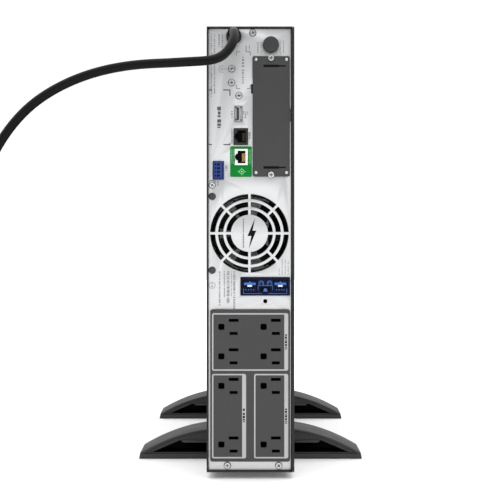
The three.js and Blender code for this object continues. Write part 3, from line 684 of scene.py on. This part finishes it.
def add_trident(bm, x, z, depth):
    """Add a small branching mark for a data port."""
    add_line(bm, [(x - 0.5, z - 3.2), (x - 0.5, z + 3.2)], 0.5, depth)
    add_line(bm, [(x - 0.5, z - 1.6), (x + 1.4, z - 0.2), (x + 1.4, z + 1.4)], 0.5, depth)
    add_line(bm, [(x - 0.5, z - 0.4), (x - 2.2, z + 0.8), (x - 2.2, z + 1.9)], 0.5, depth)
    add_shape(bm, circle(x - 0.5, z - 3.3, 0.8, 14), depth)
    add_shape(bm, circle(x - 2.2, z + 2.2, 0.6, 12), depth)
    add_bar(bm, x + 0.9, x + 1.9, z + 1.4, z + 2.4, depth)


# ---- breaker ----
BREAKER = Span("breaker_button")
BREAKER_Z = BREAKER.z


def make_breaker():
    body = Span("breaker_body")
    stem = 4.9
    hole = stem + 0.3
    y0, r = body.y0, body.r
    collar = [(hole, y0 + 8), (hole, y0 + 0.5), (hole + 0.4, y0 + 0.1), (r - 0.7, y0), (r, y0 + 0.7),
              (r, ON_FACE), (6, ON_FACE), (6, 30), (hole, 30), (hole, y0 + 8)]
    turned_piece("breaker_collar", DISC_GREY, BREAKER.x, BREAKER_Z, collar, 48, slot="black_plastic",
                 replaces=["breaker_body"])
    y0, r, rim = BREAKER.y0, BREAKER.r, BREAKER.y0 + 3
    cap = [(0, y0), (r - 1, y0), (r - 0.3, y0 + 0.3), (r, y0 + 1), (r, rim), (stem, rim), (stem, BREAKER.y1),
           (0, BREAKER.y1)]
    turned_piece("breaker_cap", DISC_GREY, BREAKER.x, BREAKER_Z, cap, 48, body="breaker",
                 slot="black_plastic", replaces=["breaker_button"])


# ---- ports ----
def jack_mouth(x0, x1, z0, z1):
    """The outline of a modular jack's mouth, lying on its side, with the latch's two steps at the left."""
    z = (z0 + z1) / 2
    return [(x0, z0), (x1, z0), (x1, z1), (x0, z1), (x0, z + 3.2), (x0 - 1.6, z + 3.2), (x0 - 1.6, z + 1.7),
            (x0 - 2.6, z + 1.7), (x0 - 2.6, z - 1.7), (x0 - 1.6, z - 1.7), (x0 - 1.6, z - 3.2), (x0, z - 3.2)]


def make_jack(node, mouth, housing, contact, slot):
    """A modular jack: its housing, an inside painted near-black as the shade within it, and eight contacts by
    the right wall.
    """
    span = Span(node)
    y0 = span.y0
    x0, x1, z0, z1 = mouth
    outlines = [around(span, 0, 0.35, 2), jack_mouth(*mouth)]
    plate_piece(node + "_housing", housing, outlines, y0, y0 + 12, 0.2, slot=slot, replaces=[node])
    # The block behind the mouth is painted near-black shade.
    block_piece(node + "_back", CAVITY_PAINTED_SHADE, span, 0.1, y0 + 12, span.y1, slot=slot)
    around_mouth = jack_mouth(x0 - 0.05, x1 + 0.05, z0 - 0.05, z1 + 0.05)
    outer = [(x + (0.02 if x > x0 else -0.02), z) for x, z in around_mouth]
    inner = jack_mouth(x0 + 0.15, x1 - 0.15, z0 + 0.15, z1 - 0.15)
    # The white jack's lining is painted near-black as the shade in its mouth; the black jack's lining keeps
    # its own plastic.
    shade = CAVITY_PAINTED_SHADE if slot != "port_black" else JACK_BLACK
    plate_piece(node + "_lining", shade, [outer, inner], y0 + 0.9, y0 + 12, slot=slot)
    wires = bmesh.new()
    count, pitch = 8, 1.02
    for i in range(count):
        z = (z0 + z1) / 2 + (i - (count - 1) / 2) * pitch
        add_box(wires, x1 - 1, x1 - 0.55, y0 + 1.2, y0 + 11.8, z - 0.24, z + 0.24)
        add_box(wires, x1 - 3.4, x1 - 0.6, y0 + 7.4, y0 + 7.8, z - 0.24, z + 0.24)
    piece(node + "_contacts", wires, contact, slot=slot)


def make_usb():
    """A stamped shell round a dark tongue, with springs at its walls."""
    span = Span("usb_port")
    y0 = span.y0
    shell = [around(span, 0, 0.5, 3), around(span, 0.6, 0.3, 3)]
    plate_piece("usb_shell", SHELL_METAL, shell, y0, span.y1 - 2, 0.12, slot="port_shell",
                replaces=["usb_port"])
    # Small blocks in the shell's corners are painted near-black shade.
    bm = bmesh.new()
    for x in (span.x0 + 0.6, span.x1 - 1.6):
        for z in (span.z0 + 0.6, span.z1 - 2.4):
            add_box(bm, x, x + 1, y0 + 0.4, y0 + 2.1, z, z + 1.8)
    piece("usb_corner_shade", bm, CAVITY_PAINTED_SHADE, slot="port_shell")
    block_piece("usb_inside", SHELL_METAL, span, 0.6, y0 + 2.2, span.y1, slot="port_shell")
    tongue = bmesh.new()
    add_box(tongue, span.x0 + 2, span.x0 + 4.1, y0 + 0.6, y0 + 2.1, span.z0 + 1.6, span.z1 - 1.6)
    piece("usb_tongue", tongue, DISC_GREY, edge=0.2, slot="port_shell")
    springs = bmesh.new()
    for z in (span.z - 3.6, span.z + 3.6):
        add_box(springs, span.x1 - 1.5, span.x1 - 1.2, y0 + 0.8, y0 + 2.1, z - 1.4, z + 1.4)
        add_box(springs, span.x0 + 0.8, span.x0 + 1.2, y0 + 0.8, y0 + 2.1, z - 1.4, z + 1.4)
    for i in range(4):
        z = span.z + (i - 1.5) * 2.4
        add_box(springs, span.x0 + 4.15, span.x0 + 4.5, y0 + 1.2, y0 + 2.1, z - 0.5, z + 0.5)
    piece("usb_springs", springs, ZINC, edge=0.08, slot="port_shell")


def make_shutdown_port():
    """A four-way terminal header with its plug pushed in."""
    span = Span("epo_header")
    ring = [around(span, 0, 0.4, 3), around(span, 0.9, 0.2, 2)]
    plate_piece("shutdown_header", BLUE_PLASTIC, ring, span.y0, span.y1 - 4, 0.15, slot="blue_connector",
                replaces=["epo_header"])
    plug = Span("epo_plug")
    holes, windows = [], []
    for i in range(4):
        z = plug.z0 + 2 + i * 3.6
        holes.append(rounded(-32.6, -29.4, z - 1.2, z + 1.2, 0.3, 2))
        windows.append(rounded(plug.x0 + 0.7, plug.x0 + 1.9, z - 1, z + 1, 0.3, 2))
    plate_piece("shutdown_plug_face", BLUE_PLASTIC, [around(plug, 0, 0.4, 3), *holes, *windows], plug.y0,
                plug.y0 + 5, 0.12, body="shutdown_plug", slot="blue_connector", replaces=["epo_plug"])
    # The plug's body behind its face is a darker copy of the blue, painted shade.
    block_piece("shutdown_plug_body", BLUE_PAINTED_SHADE, plug, 0.1, plug.y0 + 4.9, plug.y1, body="shutdown_plug",
                slot="blue_connector")


def make_network_label():
    """A green label round the network jack, with fine print at both sides and a small ringed mark."""
    jack = Span("network_port")
    x0, x1, z0, z1 = -19.8, 1.3, 292.8, 322.6
    label = [rounded(x0, x1, z0, z1, 1.2, 4), around(jack, -0.05, 0.4, 2)]
    plate_piece("network_label", GREEN_LABEL, label, FACE - 0.12, FACE - 0.02, slot="panel")
    depth = FACE - 0.12 - INK_LIFT
    fine = bmesh.new()
    for seed, (a, b) in enumerate(((x0 + 1, x0 + 2.1), (x0 + 2.6, x0 + 3.6), (x1 - 3, x1 - 2),
                                   (x1 - 1.6, x1 - 0.8))):
        add_print(fine, a, b, jack.z0 + 1, jack.z1 - 0.5, depth, 40 + seed, dash=1, gap=0.4)
    piece("network_fine_print", fine, GREEN_PALE, flat=True)
    icon = bmesh.new()
    x, z = jack.x + 0.6, z0 + 5.2
    add_arc(icon, x, z, 2.2, 0.5, 0, 360, depth, 24)
    add_shape(icon, circle(x, z, 0.8, 14), depth)
    for turn in (90, 180, 270, 0):
        reach = 4 if turn % 180 == 0 else 3.6
        add_line(icon, [polar(x, z, r, turn) for r in (2.2, reach)], 0.5, depth)
    piece("network_mark", icon, GREEN_ICON, flat=True)


def make_ports():
    make_jack("serial_port", (-12.9, -4.6, 326.2, 338.1), JACK_BLACK, DULL_CONTACT, "port_black")
    make_jack("network_port", (-12.5, -4.9, 306, 318.2), WHITE_PLASTIC, GILT, "port_white")
    make_usb()
    make_shutdown_port()
    make_network_label()


# ---- battery link ----
def make_battery_link():
    """Two keyed connectors in one dark housing, with two latch arches between them."""
    span = Span("battery_link_housing")
    sides = [Span("battery_link_left"), Span("battery_link_right")]
    windows = [around(side, -0.3, 0.4, 2) for side in sides]
    pocket = rounded(9.4, 19, 181.3, 186.6, 0.6, 3)
    plate_piece("link_frame", NAVY_PLASTIC, [around(span, 0, 0.5, 3), *windows, pocket], span.y0,
                span.y0 + 3.6, 0.2, slot="link_housing", replaces=["battery_link_housing"])
    bm = bmesh.new()
    # A back wall and a block behind the pocket, painted near-black shade.
    add_box(bm, span.x0 + 0.1, span.x1 - 0.1, 28.4, 29, span.z0 + 0.1, span.z1 - 0.1)
    add_box(bm, 9, 19.4, span.y0 + 3.6, span.y1, 181, 191.8)
    piece("link_back", bm, CAVITY_PAINTED_SHADE, slot="link_housing")
    for name, side in zip(("left", "right"), sides):
        make_link_connector(name, side)
    arches = bmesh.new()
    depth = span.y0 - INK_LIFT
    for x in (10.4, 18.6):
        for radius in (2.3, 1.3):
            add_arc(arches, x, 189.6, radius, 0.45, 0, 180, depth, 12)
            add_line(arches, [(x - radius, 189.6), (x - radius, 187.3)], 0.4, depth)
            add_line(arches, [(x + radius, 189.6), (x + radius, 187.3)], 0.4, depth)
    add_line(arches, [(7.4, 187.2), (21.6, 187.2)], 0.45, depth)
    for x in (7.4, 21.6):
        add_line(arches, [(x, 187.2), (x, 182.6)], 0.35, depth)
    piece("link_arches", arches, LINK_BLUE, flat=True, slot="link_connector")
    keys = bmesh.new()
    add_prism(keys, [(12.3, 181.4), (16.7, 181.4), (15.7, 184.4), (13.3, 184.4)], span.y0 + 0.3,
              span.y0 + 3.6)
    piece("link_key", keys, LINK_BLUE, edge=0.2, slot="link_connector")
    rim = bmesh.new()
    low = span.z0 + 1.7
    left, right = sides[0].x0 + 0.6, sides[1].x1 - 0.6
    add_line(rim, [(left, 184.6), (left, low), (11.2, low)], 0.45, depth)
    add_line(rim, [(17.2, low), (right, low), (right, 184.6)], 0.45, depth)
    piece("link_rim", rim, LINK_BLUE, flat=True, slot="link_connector")


def make_link_connector(name, side):
    """One connector: a block round its mouth, a light ledge with a peak, a white label below it, and ribs."""
    mouth = rounded(side.x0 + 1.9, side.x1 - 1.9, side.z0 + 2.1, side.z1 - 2.1, 0.3, 2)
    plate_piece(f"link_{name}_block", NAVY_PLASTIC, [around(side, 0, 0.3, 2), mouth], side.y0, side.y0 + 14,
                0.15, slot="link_connector", replaces=["battery_link_" + name])
    # The inside is a darker copy of the blue, painted shade in the mouth.
    block_piece(f"link_{name}_inside", BLUE_PAINTED_SHADE, side, 0.1, side.y0 + 14, side.y1, slot="link_connector")
    ledge = bmesh.new()
    z = side.z1 - 3.4
    profile = [(side.x0 + 1, z - 1.3), (side.x1 - 1, z - 1.3), (side.x1 - 1, z + 1), (side.x + 1.2, z + 1),
               (side.x, z + 2.6), (side.x - 1.2, z + 1), (side.x0 + 1, z + 1)]
    add_prism(ledge, profile, side.y0 - 0.6, side.y0 + 0.2)
    piece(f"link_{name}_ledge", ledge, LINK_BLUE, edge=0.2, slot="link_connector")
    label = bmesh.new()
    add_bar(label, side.x - 2.3, side.x + 2.1, z - 3, z - 1.3, side.y0 - INK_LIFT)
    piece(f"link_{name}_label", label, LABEL_WHITE, flat=True, slot="link_connector")
    ribs = bmesh.new()
    for i in range(4):
        x = side.x0 + 3 + i * (side.x1 - side.x0 - 6) / 3
        add_box(ribs, x - 0.5, x + 0.5, side.y0 + 0.4, side.y0 + 13.8, side.z0 + 1.9, side.z0 + 3.4)
    piece(f"link_{name}_ribs", ribs, LINK_BLUE, edge=0.12, slot="link_connector")


# ---- slot cover ----
def make_slot_cover():
    corners = rounded(COVER.x0, COVER_X1, COVER.z0, COVER.z1, 1.8)
    tab = [(COVER_X1, 345.8), (COVER.x1, 346.6), (COVER.x1, 358.5), (COVER_X1, 359.3)]
    outline = corners + tab  # the corners start at the top right and end at the bottom right
    plate_piece("cover_plate", COVER_PAINT, [outline], COVER.y0, COVER.y1, 0.3, 3, slot="slot_cover",
                replaces=["slot_cover"])
    depth = COVER.y0 - INK_LIFT
    dark = bmesh.new()
    for z in (400.6, 302):
        add_bar(dark, 12.6, 27.6, z - 1.3, z + 1.1, depth)
        add_bar(dark, 27.6, 34.2, z - 0.8, z + 0.6, depth)
    piece("cover_marks", dark, BLACK_INK, flat=True)
    places = [(x, z) for x in (5.4, 35) for z in (406.9, 297)]
    profile = [*dome(1.5, COVER.y0, 0.5), (1.5, COVER.y1), (0, COVER.y1)]
    for i, (x, z) in enumerate(places):
        turned_piece(f"cover_rivet_{i + 1}", ZINC, x, z, profile, 24, slot="screw")


# ---- outlets ----
BLADE_OFFSET = 11.9  # from the ground hole to the middle of the blade slots
BLADE_SPREAD = 6.35  # half the spacing of the blade slots
SLOT_HALF = 1.45  # half the width of a blade slot
GROUND_OFFSET = 6.5  # from the middle of an outlet's body to its ground hole
OUTLET_FRAMES = ((-37.3, 36.6, 104.7, 160.5), (-37.3, -4.3, 19.7, 101.6), (3.5, 36.6, 19.7, 101.6))


def outlet_holes(x, z):
    """The three openings of one outlet: a ground hole with round corners and two blade slots."""
    ground = rounded(x - 3, x + 3, z - 2.95, z + 2.95, 1.3, 4)
    slots = []
    for dz, length in ((BLADE_SPREAD, 9.4), (-BLADE_SPREAD, 7.7)):
        middle, half = x + BLADE_OFFSET, length / 2
        slots.append(rounded(middle - half, middle + half, z + dz - SLOT_HALF, z + dz + SLOT_HALF, 0.25, 2))
    return [ground, *slots]


def outlet_places():
    """The ground holes' places, from the outlets' bodies."""
    return [(Span(f"outlet_{i}").x - GROUND_OFFSET, Span(f"outlet_{i}").z) for i in range(1, 9)]


def make_outlets():
    holes = [hole for place in outlet_places() for hole in outlet_holes(*place)]
    outline = rounded(OUTLETS.x0, OUTLETS.x1, OUTLETS.z0, OUTLETS.z1, 2.2)
    plate_piece("outlet_plate", PANEL_PLASTIC, [outline, *holes], OUTLETS.y0, OUTLETS.y1, 0.28, 3,
                slot="outlet_plate", replaces=["outlet_panel"])
    depth = OUTLETS.y0 - INK_LIFT
    frames = bmesh.new()
    labels = bmesh.new()
    line = 1.3
    for x0, x1, z0, z1 in OUTLET_FRAMES:
        inner = rounded(x0 + line / 2, x1 - line / 2, z0 + line / 2, z1 - line / 2, 1.2, 4)
        add_line(frames, inner, line, depth, closed=True)
        add_bar(frames, x1 - 3.8, x1 - line, z0 + line, z1 - line, depth)
        middle = (z0 + z1) / 2
        add_print(labels, x1 - 3.2, x1 - 1.1, middle - 7.4, middle + 7.4, depth - INK_LIFT, 60 + int(x1),
                  dash=1.5, gap=0.8)
    piece("outlet_frames", frames, FRAME_INK, flat=True)
    piece("outlet_labels", labels, BLACK_INK, flat=True)


# ---- tower feet ----
def curve_points(start, control, end, n=24):
    """A quadratic curve between two points in x and z."""
    return [
        tuple((1 - t) ** 2 * a + 2 * t * (1 - t) * b + t * t * c for a, b, c in zip(start, control, end))
        for t in (i / n for i in range(n + 1))
    ]


def make_stand(node, side):
    """Half of a foot: an arched wing with a rolled top skin, a set-back web, a ledge and a deep pocket."""
    span = Span(node)
    case = PANEL.x1 + 3.1  # half the case's width
    y0, y1 = span.y0, span.y1
    arch = curve_points((116.8, 6.2), (80, 28), (case + 0.5, 31.9))
    skin_low = curve_points((112.4, 5.3), (78.5, 25.8), (45, 29.1))
    seat = 6.1

    def layer(name, outlines, d0, d1, material=STAND_PLASTIC, edge=0.0, **facts):
        flipped = [[(side * x, z) for x, z in outline] for outline in outlines]
        plate_piece(f"{node}_{name}", material, flipped, d0, d1, edge, 3, slot="stand", **facts)

    middle = 0.15 if side < 0 else 0.45  # where this half meets the other
    skin = [(118, 0), *arch, (case + 0.5, seat), (middle, seat), (middle, 0)]
    layer("shell", [skin, [*skin_low, (45, 5.3)]], y0, y1, edge=0.9, replaces=[node])
    web = [*curve_points((113.2, 5), (78.5, 26.5), (44.6, 29.8)), (44.6, 5)]
    pocket = [(104.4, 6.6), (74.6, 19.4), (71.4, 16.9), (45.2, 16.9), (45.2, 6.6)]
    for end, d0, d1 in (("rear", y0 + 2.2, y0 + 4.4), ("front", y1 - 4.4, y1 - 2.2)):
        layer(end + "_web", [web, pocket], d0, d1, edge=0.35)
    # The pocket's lining and the core behind it are painted near-black as the shade in the pocket.
    lining = [(103, 7), (74.7, 18.9), (71.6, 16.5), (45.6, 16.5), (45.6, 7)]
    layer("lining", [web, lining], y0 + 4.5, y1 - 4.5, STAND_PAINTED_SHADE)
    layer("core", [web], y0 + 21.9, y1 - 21.9, STAND_PAINTED_SHADE)
    ledge = [(73.6, 18.9), (71.2, 17), (45.2, 17), (45.2, 18.9), (69, 20)]
    layer("ledge", [ledge], y0 + 0.4, y0 + 2.6, edge=0.3)


def make_stands():
    for place in ("rear", "front"):
        make_stand(f"stand_{place}_left", -1)
        make_stand(f"stand_{place}_right", 1)


# ---- pieces that keep their CAD shape ----
KEYS = ("power", "up", "down", "enter", "escape")
KEPT = {
    "chassis_tray": (POWDER, 0.4), "side_cover": (POWDER, 0.4), "front_panel": (POWDER, 0.2),
    "battery_door": (POWDER, 0.3), "fan_frame": (FAN_PLASTIC, 0.3), "fan_rotor": (FAN_PLASTIC, 0.2),
    "card_cage": (BARE_METAL, 0.3), "main_board": (BOARD_GREEN, 0.2), "transformer": (WINDING, 2),
    "heat_sink": (BARE_METAL, 0.3), "battery_pack": (BATTERY_GREY, 2), "front_bezel": (BEZEL_PLASTIC, 0.35),
    "display_console": (PIANO_BLACK, 0.4), "display_window": (WINDOW_GLASS, 0.15),
    **{key + "_button": (KEY_PLASTIC, 0.15) for key in KEYS},
    # The outlets' bodies are black, painted near-black as the shade seen through the outlet holes.
    **{f"outlet_{i}": (CAVITY_PAINTED_SHADE, 0.2) for i in range(1, 9)},
}


def finish_kept():
    """Give CAD nodes their materials and round their edges."""
    for node, (material, edge) in KEPT.items():
        obj = bpy.data.objects[node]
        for slot in obj.material_slots:
            slot.link = "OBJECT"
            slot.material = material
        if not obj.material_slots:
            obj.data.materials.append(material)
        weld = obj.modifiers.new("weld", "WELD")
        weld.merge_threshold = 0.002 * MM
        round_edges(obj, edge)


def make_front_details():
    """Printed key symbols, and a plain reading on the display."""
    window = Span("display_window")
    depth = window.y1 + INK_LIFT
    lit = bmesh.new()
    x, z = window.x, window.z
    for i in range(5):
        add_bar(lit, x - 15 + i * 3.4, x - 12.6 + i * 3.4, z + 5.5, z + 8.5, depth)
    for i, tall in enumerate((8, 8, 5)):
        add_bar(lit, x - 15 + i * 6.4, x - 10.6 + i * 6.4, z - 5.5, z - 5.5 + tall, depth)
    add_line(lit, rounded(x + 6.5, x + 15, z - 6, z + 2, 0.6, 2), 0.6, depth, closed=True)
    bmesh.ops.reverse_faces(lit, faces=lit.faces)
    piece("display_reading", lit, LCD_LIGHT, body="display", flat=True)
    for name in KEYS:
        key = Span(name + "_button")
        mark = bmesh.new()
        x, z, face, reach = key.x, key.z, key.y1 + INK_LIFT, key.r * 0.42
        if name == "power":
            add_arc(mark, x, z, reach, 0.35, 125, 415, face, 20)
            add_line(mark, [(x, z + 0.2), (x, z + reach + 0.3)], 0.35, face)
        elif name == "escape":
            for arm in (-reach * 0.8, reach * 0.8):
                add_line(mark, [(x - reach * 0.8, z - arm), (x + reach * 0.8, z + arm)], 0.35, face)
        elif name == "enter":
            add_line(mark, [(x - reach, z - 0.2), (x - 0.2, z - reach * 0.8), (x + reach, z + reach)], 0.35,
                     face)
        else:
            up = reach if name == "up" else -reach
            add_shape(mark, [(x - reach, z - up * 0.6), (x + reach, z - up * 0.6), (x, z + up * 0.9)], face)
        bmesh.ops.reverse_faces(mark, faces=mark.faces)
        piece(name + "_symbol", mark, ICON_WHITE, body=name + "_key", flat=True)


def make_case_details():
    """Low screw heads along both ends of the case's sides."""
    cover = Span("side_cover")
    tray = Span("chassis_tray")
    heads = bmesh.new()
    for depth in (24, 440):
        for z in (40, 223, 405):
            add_side_screw(heads, cover.x1, 1, depth, z)
            add_side_screw(heads, tray.x0, -1, depth, z)
    piece("case_screws", heads, DULL_ZINC, slot="screw")


def add_side_screw(bm, face, side, depth, z):
    """Add a low round head on a side of the case, with a six-sided recess."""
    rings = []
    for radius, rise in ((3.1, -0.4), (3.1, 0.25), (2.6, 0.5), (1.3, 0.5), (1.2, -0.2)):
        count = 24 if radius > 2 else 6
        rings.append([bm.verts.new((face + side * rise, depth + u, w)) for u,
                      w in circle(0, z, radius, count)])
    for first, second in zip(rings, rings[1:]):
        if len(first) == len(second):
            for i in range(len(first)):
                k = (i + 1) % len(first)
                bm.faces.new((first[i], first[k], second[k], second[i]))
    per = len(rings[2]) // len(rings[3])
    for i in range(len(rings[3])):
        k = (i + 1) % len(rings[3])
        outer = [rings[2][(i * per + j) % len(rings[2])] for j in range(per + 1)]
        bm.faces.new([*outer, rings[3][k], rings[3][i]])
    bm.faces.new(rings[-1])
    bm.faces.new(rings[0][::-1])


# ---- floor and light ----
def make_floor():
    bm = bmesh.new()
    bmesh.ops.create_grid(bm, x_segments=1, y_segments=1, size=5)
    mesh = bpy.data.meshes.new("floor")
    bm.to_mesh(mesh)
    bm.free()
    paper = look("studio_floor", (0.95, 0.95, 0.95), 0.8, grain=0.02, grain_size=2, mottle=0.004,
                 mottle_size=400, specular=0.1)
    shader = paper.node_tree.nodes["Principled BSDF"]
    set_inputs(shader, Emission_Color=(1, 1, 1, 1), Emission_Strength=0.1)
    mesh.materials.append(paper)
    floor = bpy.data.objects.new("floor", mesh)
    floor.location.z = -0.0002
    scene.collection.objects.link(floor)


def make_light(name, place, target, size, watts):
    data = bpy.data.lights.new(name, "AREA")
    data.shape = "RECTANGLE"
    data.size, data.size_y = size
    data.energy = watts
    light = bpy.data.objects.new(name, data)
    light.location = place
    light.rotation_euler = (Vector(target) - Vector(place)).to_track_quat("-Z", "Y").to_euler()
    light.visible_camera = False
    scene.collection.objects.link(light)


def make_studio():
    """A white room, bright overhead and dimmer near the horizon, so that dark faces stay dark."""
    make_floor()
    make_light("behind_camera", (0, -3.4, 0.28), (0, 0, 0.25), (3.2, 0.3), 9)
    world = bpy.data.worlds.new("studio")
    scene.world = world
    world.use_nodes = True
    nodes, links = world.node_tree.nodes, world.node_tree.links
    place = nodes.new("ShaderNodeTexCoord")
    split = nodes.new("ShaderNodeSeparateXYZ")
    links.new(place.outputs["Generated"], split.inputs["Vector"])
    rise = nodes.new("ShaderNodeMapRange")
    rise.interpolation_type = "SMOOTHSTEP"
    set_inputs(rise, From_Min=0.1, From_Max=0.75, To_Min=0.5, To_Max=1.75)
    links.new(split.outputs["Z"], rise.inputs["Value"])
    light = nodes["Background"]
    set_inputs(light, Color=(1, 1, 1, 1))
    links.new(rise.outputs["Result"], light.inputs["Strength"])
    backdrop = nodes.new("ShaderNodeBackground")
    set_inputs(backdrop, Strength=1.05, Color=(1, 1, 1, 1))
    path = nodes.new("ShaderNodeLightPath")
    mix = nodes.new("ShaderNodeMixShader")
    links.new(path.outputs["Is Camera Ray"], mix.inputs["Fac"])
    links.new(light.outputs["Background"], mix.inputs[1])
    links.new(backdrop.outputs["Background"], mix.inputs[2])
    links.new(mix.outputs["Shader"], nodes["World Output"].inputs["Surface"])
    scene.view_settings.view_transform = "Standard"


make_camera()
make_cord()
make_fasteners()
make_rear_panel()
make_emblem()
make_panel_printing()
make_breaker()
make_ports()
make_battery_link()
make_slot_cover()
make_outlets()
make_stands()
finish_kept()
make_front_details()
make_case_details()
make_studio()
